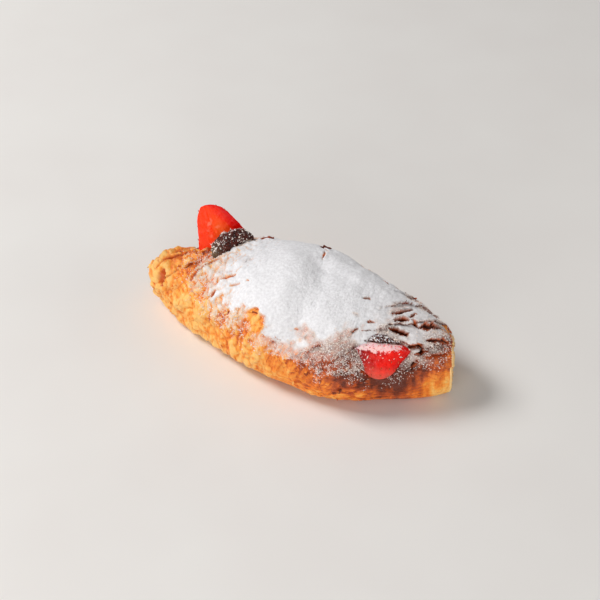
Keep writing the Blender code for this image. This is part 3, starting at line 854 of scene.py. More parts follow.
def pockets(points):
    """How far each point is in the hollows that the filling and the strawberries lie in."""
    names = ("chocolate_filling", "strawberry_standing", "strawberry_tucked")
    lying = search_tree(*[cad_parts[name].data for name in names])
    return 1 - smooth_step(*POCKET_EDGE, distance_outside(points, lying, POCKET_SEARCH))


def bare_edges(points, sheet):
    """How bare of sugar the sheets' edges are, towards the roll's ends."""
    shares = [share * smooth_step(*span, points[:, 0]) for span, share in BARE_EDGES]
    return sheet["edge"] * sum(shares)


def coat_height(points):
    """How high thick sugar lies, with its soft unevenness and its heaps."""
    x, y, _ = points.T
    drifted = DRIFT_LEAST + (1 - DRIFT_LEAST) * smooth_step(*DRIFT_FROM, x)
    coat = SUGAR_COAT + drifted * swell(points, DRIFT, 81, 2) + swell(points, CLUMP, 82)
    for heap_x, heap_y, radius, height in HEAPS:
        coat = coat + height * bell(np.hypot(x - heap_x, y - heap_y), radius)
    return coat


def cut_crumb(roll):
    """How much each point shows the pale crumb of a cut end."""
    rim = smooth_step(BLUNT_END - CUT_RIM[0], BLUNT_END - CUT_RIM[1], roll["station"])
    low_rim = LOW_CRUMB * smooth_step(LOW_END + LOW_RIM, LOW_END, roll["station"])
    return np.maximum(rim, low_rim) * (CRUMB_LEAST + (1 - CRUMB_LEAST) * roll["layer"])


def crust_surface(roll):
    """The crust's points, the values that its finish is worked out from, and at each point the way
    that its sheet's free edge points."""
    base = roll["grid"].reshape(-1, 3)
    normals = grid_normals(roll["grid"]).reshape(-1, 3)
    sheet = sheets(base, normals)
    forms, crags = large_relief(base, normals, sheet)
    shift = sheet["shift"] * smooth_step(*FOOT_FADE, base[:, 2])[:, None]
    points = base + normals * forms[:, None] + shift + TO_FRAME

    foot = smooth_step(*FINE_FOOT_FADE, base[:, 2])
    along, across = leaf_lines(base)
    fine, crease, tone_and_shade = fine_relief(base, along, across)
    fine = crags + fine * foot * (1 - FINE_END_LOSS * smooth_step(*FINE_END_FADE, roll["inward"]))
    bumpy = points + normals * fine[:, None]
    bumpy_normals = grid_normals(bumpy.reshape(roll["grid"].shape)).reshape(-1, 3)
    film, grains = sugar_cover(points, bumpy_normals)
    film, gap = broken_edge(film, crease, tone_and_shade, along, across, base[:, 0])
    smear = np.max([bell(distance(points, middle), radius) for middle, radius in SMEARS], axis=0)
    pocket = pockets(points)
    crack_move, crack_inside, crack_lips = carve_cracks(points, normals)
    blunt_face = (roll["inward"] > 0) * (roll["station"] > 0)
    bare = np.clip(crack_inside * CRACK_BARENESS, 0, 1) + pocket + blunt_face + smear
    clear = 1 - np.clip(bare + bare_edges(points, sheet), 0, 1)
    film, grains = film * clear, grains * clear

    fill = SUGAR_FILL - SUGAR_FILL_LOST * smooth_step(*FILL_LOST_X, points[:, 0])
    lift = (fine - SLAB_GAP * gap) * (1 - fill * film**2) + film * coat_height(points) * foot
    lift = lift + crack_move - POCKET_DEPTH * pocket
    points = points + normals * lift[:, None]
    points[:, 2] = np.maximum(points[:, 2], 0.0)
    values = {
        "sugar": film,
        "grains": grains,
        "crease": np.clip(np.maximum(sheet["edge"], crease), 0, 1),
        "hollow": np.clip(np.maximum(crack_inside, pocket), 0, 1),
        "lip": crack_lips,
        "smear": smear,
        # Painted shade: darker in the gaps between the sugared slabs.
        "tone_and_shade": tone_and_shade - GAP_PAINTED_SHADE * gap,
        "crumb": cut_crumb(roll),
        "leaf": np.column_stack([
            along / STREAK_SIZE[0], across / STREAK_SIZE[1], STREAKS_UP * base[:, 2]
        ]),
    }
    return points, values, sheet["outward"]


def crust_piece():
    """The whole crust as one closed mesh, and at each point the way of its sheet's free edge."""
    roll = roll_grid()
    points, values, outward = crust_surface(roll)
    values = {name: np.concatenate([value, value[[0, -1]]]) for name, value in values.items()}
    vertices = np.vstack([points, roll["tips"] + TO_FRAME])
    piece = new_piece("crust", vertices, grid_faces(*roll["grid"].shape[:2]), values)
    piece.data.materials.append(crust_finish())
    return piece, np.vstack([outward, [[-1, 0, 0], [1, 0, 0]]])


# ---- Objects ----
def new_piece(name, vertices, faces, values=None):
    """A smooth mesh object with named values at its points."""
    mesh = bpy.data.meshes.new(name)
    mesh.from_pydata(np.asarray(vertices).tolist(), [], faces)
    mesh.shade_smooth()
    piece = bpy.data.objects.new(name, mesh)
    set_values(piece, values or {})
    bpy.context.scene.collection.objects.link(piece)
    return piece


def rows_of(piece, kind):
    """The points of a piece's mesh, by kind co, or their normals, by kind normal."""
    rows = np.zeros(len(piece.data.vertices) * 3)
    piece.data.vertices.foreach_get(kind, rows)
    return rows.reshape(-1, 3)


def set_points(piece, rows):
    """Move the mesh's points."""
    piece.data.vertices.foreach_set("co", rows.ravel())
    piece.data.update()


def set_values(piece, values):
    """Store named values, each a number or three, at the mesh's points."""
    for label, value in values.items():
        kind, field = ("FLOAT", "value") if value.ndim == 1 else ("FLOAT_VECTOR", "vector")
        layer = piece.data.attributes.new(label, kind, "POINT")
        layer.data.foreach_set(field, np.float32(value).ravel())


def values_of(piece, name):
    """Named values read back from the mesh's points."""
    layer = piece.data.attributes[name]
    width, field = (3, "vector") if layer.data_type == "FLOAT_VECTOR" else (1, "value")
    rows = np.zeros(len(piece.data.vertices) * width, np.float32)
    layer.data.foreach_get(field, rows)
    return rows.reshape(-1, width).squeeze()


def fine_copy(node, name, voxel):
    """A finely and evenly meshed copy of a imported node."""
    piece = bpy.data.objects.new(name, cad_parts[node].data.copy())
    piece.data.materials.clear()
    bpy.context.scene.collection.objects.link(piece)
    remesh = piece.modifiers.new("even", "REMESH")
    remesh.mode = "VOXEL"
    remesh.voxel_size = voxel
    soften = piece.modifiers.new("soft", "SMOOTH")
    soften.factor = 0.5
    soften.iterations = SOFTENING
    graph = bpy.context.evaluated_depsgraph_get()
    mesh = bpy.data.meshes.new_from_object(piece.evaluated_get(graph))
    piece.modifiers.clear()
    piece.data = mesh
    piece.data.shade_smooth()
    return piece


# ---- Filling ----
def filling_piece():
    """The chocolate filling, with its crumbly lumps where it shows."""
    piece = fine_copy("chocolate_filling", "filling", FILLING_VOXEL)
    points, normals = rows_of(piece, "co"), rows_of(piece, "normal")
    grit = pillows(points, GRIT[0], seed=95)
    lift = swell(points, CRUMBLE, 91, 3) + GRIT[1] * (grit - PILLOW_MEAN)
    points = points + normals * lift[:, None]
    set_points(piece, points)
    # Painted sheen: a pale patch at the left end of the left lump.
    painted_sheen = bell(distance(points, SHEEN_SPOT), SHEEN_RADIUS)
    dusted = np.where(points[:, 0] > 0, DUSTED_RIGHT, DUSTED_LEFT)
    dusted = dusted * smooth_step(*DUSTED_FACING, normals[:, 2])
    set_values(piece, {"painted_sheen": painted_sheen, "grit": grit, "dusted": dusted})
    piece.data.materials.append(filling_finish())
    return piece


# ---- Strawberries ----
def berry_axes(berry):
    """The berry's tip, length, and its directions towards the stem, out of the face, sideways."""
    stem, tip = np.array(berry["stem"]), np.array(berry["tip"])
    down = unit(stem - tip)
    face = np.array(berry["face"])
    face = unit(face - down * (face @ down))
    return tip, np.linalg.norm(stem - tip), down, face, np.cross(down, face)


def berry_profile(berry, t):
    """The berry's share of its full width at t, 0 at the tip: a cone with a round, blunt tip."""
    tip = np.sqrt(1 - (1 - np.minimum(t / berry["round_tip"], 1.0)) ** 2)
    turn_in = np.clip((t - SHOULDER) / (1 - SHOULDER), 0.0, 1.0)
    cone = berry["bluntness"] * tip + (1 - berry["bluntness"]) * t
    return cone * np.sqrt(1 - SHOULDER_TURN * turn_in**2)


def seed_places(berry):
    """Rows of places on the berry's skin, each with its outward direction."""
    tip, length, down, face, side = berry_axes(berry)
    places = []
    rows = int(length / SEED_SPACING)
    for row in range(1, rows + 1):
        t = (row - 0.35) / rows
        width = berry["half_width"] * berry_profile(berry, t)
        depth = berry["depth"] * berry_profile(berry, t)
        count = max(3, round(math.pi * (width + depth) / 2 / SEED_SPACING))
        for i in range(count):
            angle = math.pi * (i + (0.25 if row % 2 else 0.75)) / count
            out = side * math.cos(angle) / width - face * math.sin(angle) / depth
            place = tip + down * t * length
            place = place + side * width * math.cos(angle) - face * depth * math.sin(angle)
            places.append((place, unit(out)))
    return places


def square_shoulder(berry, points):
    """Points of a berry's skin with one shoulder beside the tip filled out."""
    if "shoulder" not in berry:
        return points
    middle, way, radius, reach = berry["shoulder"]
    near = bell(distance(points, middle), radius)
    return points + reach * near[..., None] * np.array(way)


def patch_share(u, t, patch):
    """How far points are inside a patch of the cut face."""
    return bell(u - patch[0][0], patch[0][1]) * bell(t - patch[1][0], patch[1][1])


def berry_piece(node, name, berry, finish):
    """A strawberry half: dimpled skin, and a cut face with its rim, core, veins and a patch of painted
    highlight.
    """
    piece = fine_copy(node, name, BERRY_VOXEL)
    points, normals = rows_of(piece, "co"), rows_of(piece, "normal")
    tip, length, down, face, side = berry_axes(berry)
    offset = points - tip
    t = np.clip(offset @ down / length, 0.01, 1.2)
    u = (offset @ side) / (berry["half_width"] * berry_profile(berry, t))
    cut = smooth_step(*CUT_DEPTH, -(offset @ face)) * smooth_step(*CUT_FACING, normals @ face)
    lift = np.zeros(len(points))
    for place, _ in seed_places(berry):
        lift -= SEED_DIMPLE * bell(distance(points, place), SEED_DIMPLE_WIDTH)
    lift = lift * (1 - cut) + swell(points, SKIN_BUMPS, 101, 2)
    veins = cloud(np.column_stack([u / VEIN_WIDTH, t * VEINS_ALONG, 0 * t]), 1.0, seed=103, layers=2)
    core = patch_share(u, t, CORE)
    # Painted highlight: pale spots over part of the cut flesh.
    painted_highlight = patch_share(u, t, PAINTED_HIGHLIGHT_SPOT) * cloud(points, HIGHLIGHT_MOTTLE_SIZE, seed=105, layers=2)
    lift -= cut * (CORE_DEPTH * core + VEIN_LIFT * veins)
    set_points(piece, square_shoulder(berry, points + normals * lift[:, None]))
    rim = np.maximum(np.abs(u), smooth_step(0.20, 0.0, t))
    set_values(piece, {
        "cut": cut, "rim": rim, "core": core, "painted_highlight": painted_highlight, "veins": veins, "side": u, "way": t,
    })
    piece.data.materials.append(finish)
    return piece


def oval(place, out, long_way, size, segments=8, rings=5):
    """A small closed oval, flat against the surface that it sits on."""
    tilt = math.pi * np.arange(1, rings) / rings
    angle = 2 * math.pi * np.arange(segments) / segments
    shares = np.column_stack([
        np.repeat(np.cos(tilt), segments),
        np.outer(np.sin(tilt), np.cos(angle)).ravel(),
        np.outer(np.sin(tilt), np.sin(angle)).ravel(),
    ])
    tips = [(1, 0, 0), (-1, 0, 0)]
    reach = np.array([long_way, np.cross(long_way, out), out]) * np.array(size)[:, None]
    return place + np.vstack([shares, tips]) @ reach, grid_faces(rings - 1, segments)


def seeds_piece():
    """The seeds of both strawberries, each in its dimple and pointing to the tip."""
    vertices, faces = [], []
    for berry in (STANDING, TUCKED):
        down = berry_axes(berry)[2]
        for place, out in seed_places(berry):
            if berry is TUCKED and place[2] > SEEDS_TOP:
                continue
            long_way = unit(down - out * (down @ out))
            sunk = square_shoulder(berry, place) - out * SEED_DIMPLE * 0.75
            rows, new_faces = oval(sunk, out, long_way, SEED_SIZE)
            faces += [[len(vertices) + i for i in face] for face in new_faces]
            vertices += rows.tolist()
    piece = new_piece("berry_seeds", vertices, faces)
    piece.data.materials.append(seed_finish())
    return piece


# ---- Loose flakes and sugar ----
def flake(place, out, free, length, width, lift, draw):
    """A thin pointed leaf of crust: one long edge sunk in the crust, the other ragged and raised."""
    along = unit(np.cross(free, out))
    free = unit(np.cross(out, along))
    u = np.linspace(-1, 1, FLAKE_COLUMNS)
    rag = 1 + FLAKE_RAGGED * draw.uniform(-1, 1, FLAKE_COLUMNS)
    outline = np.maximum((1 - np.abs(u) ** 1.5) * rag, FLAKE_NARROWEST)
    bow = draw.uniform(-FLAKE_BOW, FLAKE_BOW) * (1 - u * u)
    top, under = [], []
    for v in np.linspace(0, 1, FLAKE_ROWS):
        reach = width * (v * outline + bow - FLAKE_ROOTED)
        height = lift * (v * outline) ** FLAKE_CURL - FLAKE_SUNK * (1 - v) ** 2
        height = height + FLAKE_RAG * draw.uniform(-1, 1, FLAKE_COLUMNS) * v
        row = place + np.outer(u * length / 2, along) + np.outer(reach, free) + np.outer(height, out)
        top.append(row)
        under.append(row - out * FLAKE_THICKNESS * (1 - FLAKE_THINNING * v))
    index = np.arange(FLAKE_ROWS * FLAKE_COLUMNS).reshape(FLAKE_ROWS, FLAKE_COLUMNS)
    quads = np.stack([index[:-1, :-1], index[:-1, 1:], index[1:, 1:], index[1:, :-1]], axis=-1)
    quads = quads.reshape(-1, 4)
    border = np.concatenate([index[0], index[1:, -1], index[-1, -2::-1], index[-2:0:-1, 0]])
    ahead = np.roll(border, -1)
    sides = np.column_stack([ahead, border, border + index.size, ahead + index.size])
    faces = np.vstack([quads, quads[:, ::-1] + index.size, sides])
    return np.vstack(top + under), faces


def mostly_small(draw, span, power, count=None):
    """Random sizes from the least to the most, few of them near the most."""
    least, more = span
    return least + more * draw.random(count) ** power


def loose_flakes(crust, outward, draw):
    """Flakes along the leaves' edges and the cracks' lips, away from thick sugar: the crust's point
    near each, its place, the way its free edge points, length, width, lift, sugar, grains, tone."""
    points = rows_of(crust, "co")
    sugar, grains = values_of(crust, "sugar"), values_of(crust, "grains")
    wanted = (values_of(crust, "crease") + values_of(crust, "lip")) * (1 - 0.93 * sugar)
    wanted = wanted * (values_of(crust, "hollow") < 0.05) * (values_of(crust, "crumb") < 0.05)
    wanted = wanted * (points[:, 2] > FLAKES_LOWEST)
    wanted = wanted * (points[:, 0] > FLAKES_REACH[0]) * (points[:, 0] < FLAKES_REACH[1])
    plans = []
    for i in draw.choice(len(points), FLAKE_COUNT, replace=False, p=wanted / wanted.sum()):
        free = outward[i] + FLAKE_SCATTER * draw.normal(size=3)
        length = mostly_small(draw, FLAKE_LENGTH, 1.5)
        width = length * mostly_small(draw, FLAKE_SLIMNESS, 1)
        lift = mostly_small(draw, FLAKE_LIFT, 2)
        tone_and_shade = draw.uniform(-FLAKE_TONE, FLAKE_TONE)
        plans.append((i, points[i], free, length, width, lift, sugar[i], grains[i], tone_and_shade))
    return plans


def single_flakes(crust):
    """The flakes that are seen singly, in the same terms."""
    points, tree = rows_of(crust, "co"), search_tree(crust.data)
    plans = []
    for place, free, length, width, lift, tone_and_shade in NAMED_FLAKES:
        spot = np.array(tree.find_nearest(Vector(place))[0])
        near = int(np.argmin(distance(points, spot)))
        plans.append((near, spot, np.array(free), length, width, lift, 0.0, 0.0, tone_and_shade))
    return plans


def flakes_piece(crust, outward):
    """The loose flakes of the crust, as one mesh."""
    draw = np.random.default_rng(7)
    normals, leaf = rows_of(crust, "normal"), values_of(crust, "leaf")
    vertices, faces = [], []
    values = {"sugar": [], "grains": [], "tone_and_shade": [], "leaf": []}
    for near, spot, free, length, width, lift, *finish in (
        loose_flakes(crust, outward, draw) + single_flakes(crust)
    ):
        rows, new_faces = flake(spot, normals[near], free, length, width, lift, draw)
        faces += (new_faces + len(rows) * len(vertices)).tolist()
        vertices.append(rows)
        for parts, value in zip(values.values(), (*finish, leaf[near])):
            parts.append(np.tile(value, (len(rows), 1)))
    vertices = np.vstack(vertices)
    vertices[:, 2] = np.maximum(vertices[:, 2], 0.0)
    values = {name: np.vstack(parts).squeeze() for name, parts in values.items()}
    piece = new_piece("crust_flakes", vertices, faces, values)
    piece.data.materials.append(crust.data.materials[0])
    return piece


def grains_piece(name, places, normals, sizes, draw, longest=(1, 1, 1)):
    """Small angular grains of sugar, each sitting on its place."""
    count = len(places)
    turns = np.linalg.qr(draw.normal(size=(count, 3, 3)))[0]
    turns = turns * np.sign(np.linalg.det(turns))[:, None, None]
    shapes = GRAIN_SHAPE * (0.7 + 0.6 * draw.random((count, 6, 1))) * longest
    shapes = np.einsum("nij,nkj->nki", turns, shapes) * sizes[:, None, None]
    centres = places + normals * sizes[:, None] * GRAIN_STANDING
    vertices = (shapes + centres[:, None, :]).reshape(-1, 3)
    faces = (GRAIN_FACES[None] + 6 * np.arange(count)[:, None, None]).reshape(-1, 3)
    piece = new_piece(name, vertices, faces.tolist())
    piece.data.shade_flat()
    piece.data.materials.append(sugar_finish())
    return piece


def loose_sugar(crust, filling, tucked):
    """Grains on the crust where sugar is thin, and crystals on the filling and the tucked half."""
    draw = np.random.default_rng(19)
    points, normals = rows_of(crust, "co"), rows_of(crust, "normal")
    weight = values_of(crust, "grains") * (normals[:, 2] > GRAINS_FACING)
    weight = weight * smooth_step(*GRAINS_END, values_of(crust, "sugar"))
    weight = weight * np.clip(1 + cloud(points, CLUMPING_SIZE, seed=111, layers=2), 0.1, 2)
    picked = draw.choice(len(points), GRAIN_COUNT, p=weight / weight.sum())
    jitter = draw.normal(size=(len(picked), 3)) * GRAIN_JITTER
    jitter = jitter - normals[picked] * np.sum(jitter * normals[picked], axis=1, keepdims=True)
    sizes = mostly_small(draw, GRAIN_SIZE, 2, len(picked))
    on_crust = grains_piece("sugar_grains", points[picked] + jitter, normals[picked], sizes, draw)
    places, ups = [], []
    for piece, share in zip((filling, tucked), CRYSTAL_SHARES):
        spots, spot_normals = rows_of(piece, "co"), rows_of(piece, "normal")
        clumped = np.clip(0.6 + 1.2 * cloud(spots, CLUMPING_SIZE, seed=115), 0, 2)
        keep = draw.random(len(spots)) < share * clumped * (spot_normals[:, 2] > 0.0)
        dense = draw.random(len(spots)) < 1 - CRYSTALS_SPARSER_RIGHT * (spots[:, 0] > 0)
        keep = keep & dense & (spots[:, 2] > CRYSTALS_LOWEST)
        places.append(spots[keep])
        ups.append(spot_normals[keep])
    places, ups = np.vstack(places), np.vstack(ups)
    sizes = mostly_small(draw, CRYSTAL_SIZE, 1.5, len(places))
    return on_crust, grains_piece("sugar_crystals", places, ups, sizes, draw, CRYSTAL_SHAPE)


# ---- Finishes ----
def linear(screen):
    """A colour that is given as a screen shows it, as the shaders take it."""
    shares = [value / 255 for value in screen]
    return [s / 12.92 if s <= 0.04045 else ((s + 0.055) / 1.055) ** 2.4 for s in shares] + [1.0]


class Shade:
    """A number or a colour that differs over a surface. Numbers can be added and multiplied."""

    def __init__(self, finish, socket):
        self.finish = finish
        self.socket = socket

    def __add__(self, other):
        return self.finish.math("ADD", self, other)

    def __sub__(self, other):
        return self.finish.math("SUBTRACT", self, other)

    def __rsub__(self, other):
        return self.finish.math("SUBTRACT", other, self)

    def __mul__(self, other):
        return self.finish.math("MULTIPLY", self, other)

    __radd__ = __add__
    __rmul__ = __mul__

    def clamped(self):
        """The number kept between 0 and 1."""
        return self.finish.math("ADD", self, 0.0, use_clamp=True)

    def spread(self, low, high, to_low=0.0, to_high=1.0):
        """The number's range stretched to another range, and cut off at its ends."""
        inputs = {"Value": self, "From Min": low, "From Max": high, "To Min": to_low, "To Max": to_high}
        return self.finish.node("ShaderNodeMapRange", inputs, clamp=True)


class Finish:
    """A procedural material with one Principled shader, and that shader's fixed values."""

    def __init__(self, name, **fixed):
        self.material = bpy.data.materials.new(name)
        self.material.use_nodes = True
        self.tree = self.material.node_tree
        self.shader = self.tree.nodes["Principled BSDF"]
        for label, value in fixed.items():
            self.shader.inputs[label.replace("_", " ")].default_value = value

    def fill(self, socket, value):
        """Link a shade to a socket, or set a fixed value on it."""
        if isinstance(value, Shade):
            self.tree.links.new(value.socket, socket)
        else:
            socket.default_value = value

    def show(self, label, shade):
        """Let the shader take a shade."""
        self.fill(self.shader.inputs[label], shade)

    def node(self, kind, inputs, output=0, **settings):
        """What a new shader node gives."""
        node = self.tree.nodes.new(kind)
        for name, value in settings.items():
            setattr(node, name, value)
        for name, value in inputs.items():
            self.fill(node.inputs[name], value)
        return Shade(self, node.outputs[output])

    def math(self, operation, first, second, **settings):
        """What an operation on two numbers gives."""
        return self.node("ShaderNodeMath", {0: first, 1: second}, operation=operation, **settings)

    def value(self, name, output="Fac"):
        """A value stored at the mesh's points."""
        return self.node("ShaderNodeAttribute", {}, output, attribute_name=name)

    def place(self, axis=None):
        """The place on the object, or how far it is along one axis."""
        place = self.node("ShaderNodeTexCoord", {}, "Object")
        return self.node("ShaderNodeSeparateXYZ", {0: place}, axis) if axis else place

    def mix(self, share, first, second, blend="MIX"):
        """Two colours mixed, each a shade or a screen's colour."""
        first, second = (c if isinstance(c, Shade) else linear(c) for c in (first, second))
        inputs = {0: share, 6: first, 7: second}
        return self.node("ShaderNodeMix", inputs, 2, data_type="RGBA", blend_type=blend)

    def noise(self, size, detail=3.0, roughness=0.55, stretch=(1, 1, 1), place=None):
        """Cloudy noise whose lumps are about size across, spread to 0..1."""
        inputs = {"Vector": place or self.place(), "Scale": [share / size for share in stretch]}
        scaled = self.node("ShaderNodeMapping", inputs)
        inputs = {"Vector": scaled, "Scale": 1.0, "Detail": detail, "Roughness": roughness}
        return self.node("ShaderNodeTexNoise", inputs).spread(0.3, 0.7)

    def bump(self, height, depth):
        """Let the shader's surface rise and fall by a height."""
        inputs = {"Height": height, "Distance": depth}
        self.show("Normal", self.node("ShaderNodeBump", inputs))


def crust_streaks(finish, x, z):
    """Streaks along the leaves of dough, mottled on the left and level along the foot."""
    streaks = finish.noise(1.0, detail=4, roughness=0.6, place=finish.value("leaf", "Vector"))
    mottled = finish.noise(MOTTLED_SIZE, detail=4, roughness=0.6)
    streaks = streaks + (mottled - streaks) * x.spread(*MOTTLED_X, 0.0, 0.6)
    level = finish.noise(FINE_SIZE, detail=3, roughness=0.5, stretch=(0.16, 0.16, 1.0))
    return streaks + (level - streaks) * (z.spread(*LEVEL_Z) * x.spread(*LEVEL_X))


def baked(finish, x, z, fine, streaks):
    """How brown the dough is: golden on the left, browner to the right, and pale at the low right, with
    painted light and shade that make raised dough paler and low dough darker.
    """
    browner = x.spread(*BROWNER_X)
    flank = x.spread(*FLANK_X) * z.spread(*FLANK_Z)
    upright = finish.noise(UPRIGHT_SIZE, detail=3, stretch=(1.0, 0.6, 0.16))
    return (
        0.58 * (browner * z.spread(*BROWNER_Z))
        + 0.27 * browner
        + 0.16 * (x.spread(*SHELF_X) * z.spread(*SHELF_Z))
        + 0.20 * flank
        - 0.07 * x.spread(*PALER_X)
        - 0.58 * (x.spread(*END_X) * z.spread(*END_Z))
        + 0.45 * (upright - 0.5) * flank
        + 0.22 * finish.noise(BAKE_SIZE)
        + 0.14 * fine
        + 0.24 * streaks
        + 0.10 * streaks.spread(0.70, 0.84)
        # Painted light and shade: a high tone, on raised dough, makes it paler; loose flakes get a
        # random tone.
        - 0.66 * finish.value("tone_and_shade")
        - 0.11
    ).clamped()


def crust_colour(finish, x, z, fine, streaks):
    """Baked dough, darker in its creases partly from baking and partly by painted shade, bare inside
    its hollows with painted shade deep in them, and pale where it is cut.
    """
    crust = finish.node("ShaderNodeValToRGB", {0: baked(finish, x, z, fine, streaks)})
    stops = crust.socket.node.color_ramp.elements
    stops[0].color = linear(PALE_GOLD)
    stops[1].color = linear(DARK_BROWN)
    for at, shade in ((0.20, GOLD), (0.42, ORANGE), (0.66, RUST)):
        stops.new(at).color = linear(shade)
    # Darker creases: partly the leaves' browner baked edges, partly painted shade in the creases.
    softer = 0.40 + 0.35 * x.spread(*SOFT_CREASE_X) - 0.45 * x.spread(*FAINT_CREASE_X)
    crust = finish.mix(finish.value("crease") * softer.clamped(), crust, RUST, "MULTIPLY")
    hollow = finish.value("hollow")
    inside = finish.mix(x.spread(*HOLLOW_BROWN_X), HOLLOW_ORANGE, HOLLOW_BROWN)
    crust = finish.mix(hollow.spread(0.10, 0.45, 0.0, 0.88), crust, inside)
    # Painted shade: near-black brown deep in the cracks and pockets, though not at the low end.
    crust = finish.mix(hollow.spread(0.52, 0.95) * x.spread(*CREVICE_SHADE_X), crust, CREVICE_SHADE)
    crust = finish.mix(finish.value("crumb").spread(0.2, 0.75, 0.0, 0.9), crust, CREAM)
    smear = finish.value("smear") - finish.noise(SMEAR_SIZE)
    return finish.mix((3.0 * smear + 0.2).clamped(), crust, SMEAR_BROWN)


def crust_finish():
    """Baked dough, satin where it is bare, with icing sugar where it lies."""
    finish = Finish("golden_crust", Specular_IOR_Level=0.36)
    x, z = finish.place("X"), finish.place("Z")
    fine = finish.noise(FINE_SIZE, detail=4)
    streaks = crust_streaks(finish, x, z)
    film, loose = finish.value("sugar"), finish.value("grains")
    bare = 1.0 - film

    powder = finish.noise(POWDER_SIZE, detail=4, roughness=0.7)
    patchy = (0.38 * powder + 0.62 * streaks - 0.5) * (film * bare)
    coat = (1.32 * film + 2.8 * patchy - 0.14).clamped()
    grit = finish.noise(POWDER_SIZE, detail=3, roughness=0.7)
    threshold = 0.32 * finish.noise(SPECK_CLUMP_SIZE, detail=2) + 0.68 * grit
    specks = (8.0 * (loose - threshold) + 0.5).clamped()
    sugar = finish.math("MAXIMUM", coat, 0.60 * specks)
    white = finish.mix(finish.noise(SUGAR_MOTTLE), SUGAR_GREY, SUGAR_WHITE)
    # Where the film thins the sugar turns pinkish grey: partly thin sugar over crust, partly painted
    # shade along its lower edge.
    white = finish.mix(film.spread(0.55, 0.97), SUGAR_THIN_AND_SHADED, white)
    crust = crust_colour(finish, x, z, fine, streaks)
    finish.show("Base Color", finish.mix(sugar, crust, white))

    finish.show("Roughness", (0.5 * sugar + fine.spread(0.0, 1.0, 0.26, 0.46)).clamped())
    crackle = finish.noise(CRACKLE_SIZE, detail=4, roughness=0.6)
    ripples = finish.noise(RIPPLE_SIZE, detail=3, stretch=(1.0, 0.34, 0.5)) * x.spread(*RIPPLED_X)
    flaky = (0.25 * crackle + 0.50 * streaks) * bare
    height = 0.22 * powder + 0.42 * ripples + 0.5 * (grit * loose) + flaky
    finish.bump(height.clamped(), CRUST_BUMP)
    return finish.material


def sugar_finish():
    """Icing sugar in loose grains."""
    finish = Finish("icing_sugar", Roughness=0.85)
    finish.show("Base Color", finish.mix(finish.noise(GRAIN_MOTTLE), SUGAR_GRAIN, SUGAR_WHITE))
    return finish.material


def filling_finish():
    """Dark chocolate, almost black, with a pale greyish painted sheen at the left end of its left lump.
    """
    finish = Finish("dark_chocolate", Specular_IOR_Level=0.28)
    cocoa = finish.mix(finish.noise(COCOA_MOTTLE, detail=4), COCOA_DARK, COCOA)
    cocoa = finish.mix(0.22 * finish.value("grit"), cocoa, COCOA_GRIT)
    cocoa = finish.mix(0.8 * finish.value("painted_sheen"), cocoa, COCOA_SHEEN)
    powder = finish.noise(COCOA_GRAIN, detail=2, roughness=0.6)
    specks = (7.0 * (finish.value("dusted") - powder) + 0.5).clamped()
    finish.show("Base Color", finish.mix(specks, cocoa, SUGAR_WHITE))
    finish.show("Roughness", finish.noise(COCOA_GLOSS_SIZE).spread(0.0, 1.0, 0.18, 0.5))
    finish.bump(finish.noise(COCOA_GRAIN, detail=4), COCOA_BUMP)
    return finish.material


def berry_flesh(finish):
    """Wet cut flesh, paler at its core and veins, deeper to one side and at its rim, with pale spots of
    painted highlight.
    """
    side = finish.value("side").spread(0.0, -0.75)
    rim = finish.value("rim").spread(0.60, 0.98, 0.0, 0.9) * side.spread(0.0, 1.0, 0.35, 1.0)
    flesh = finish.mix(side, FLESH, FLESH_DEEP)
    flesh = finish.mix(finish.value("veins").spread(0.0, 0.9, 0.0, 0.30), flesh, FLESH_VEIN)
    flesh = finish.mix(finish.value("core").spread(0.3, 1.0, 0.0, 0.40), flesh, FLESH_CORE)
    flesh = finish.mix(rim, flesh, FLESH_RIM)
    # Painted highlight: pale spots mixed into the flesh.
    return finish.mix(finish.value("painted_highlight").spread(0.15, 0.6, 0.0, 0.5), flesh, FLESH_HIGHLIGHT)


def sugared_berry(finish, berry):
    """Sugar dusted over the berry's upper edge and its left side, painted shade at its left and its
    right, and its pale pink tip.
    """
    x = finish.place("X")
    # Painted shade: the skin darkened towards its right end and over its left part.
    berry = finish.mix(x.spread(*SHADED_RIGHT_X, 0.0, 0.25), berry, SKIN_SHADE_RIGHT)
    berry = finish.mix(x.spread(*SHADED_LEFT_X, 0.0, 0.85), berry, SKIN_SHADE_LEFT)
    berry = finish.mix(0.45 * finish.value("way").spread(0.42, 0.10), berry, SKIN_TIP)
    top = finish.place("Z").spread(*SUGARED_TOP, 0.0, 0.86)
    cover = finish.math("MAXIMUM", top, x.spread(*SUGARED_X, 0.0, 0.60))
    powder = finish.noise(POWDER_SIZE, detail=3, roughness=0.7, stretch=(1.0, 1.0, 0.5))
    sugar = (4.0 * (cover - powder)).clamped()
    return finish.mix(0.8 * sugar, berry, SUGAR_PINK)


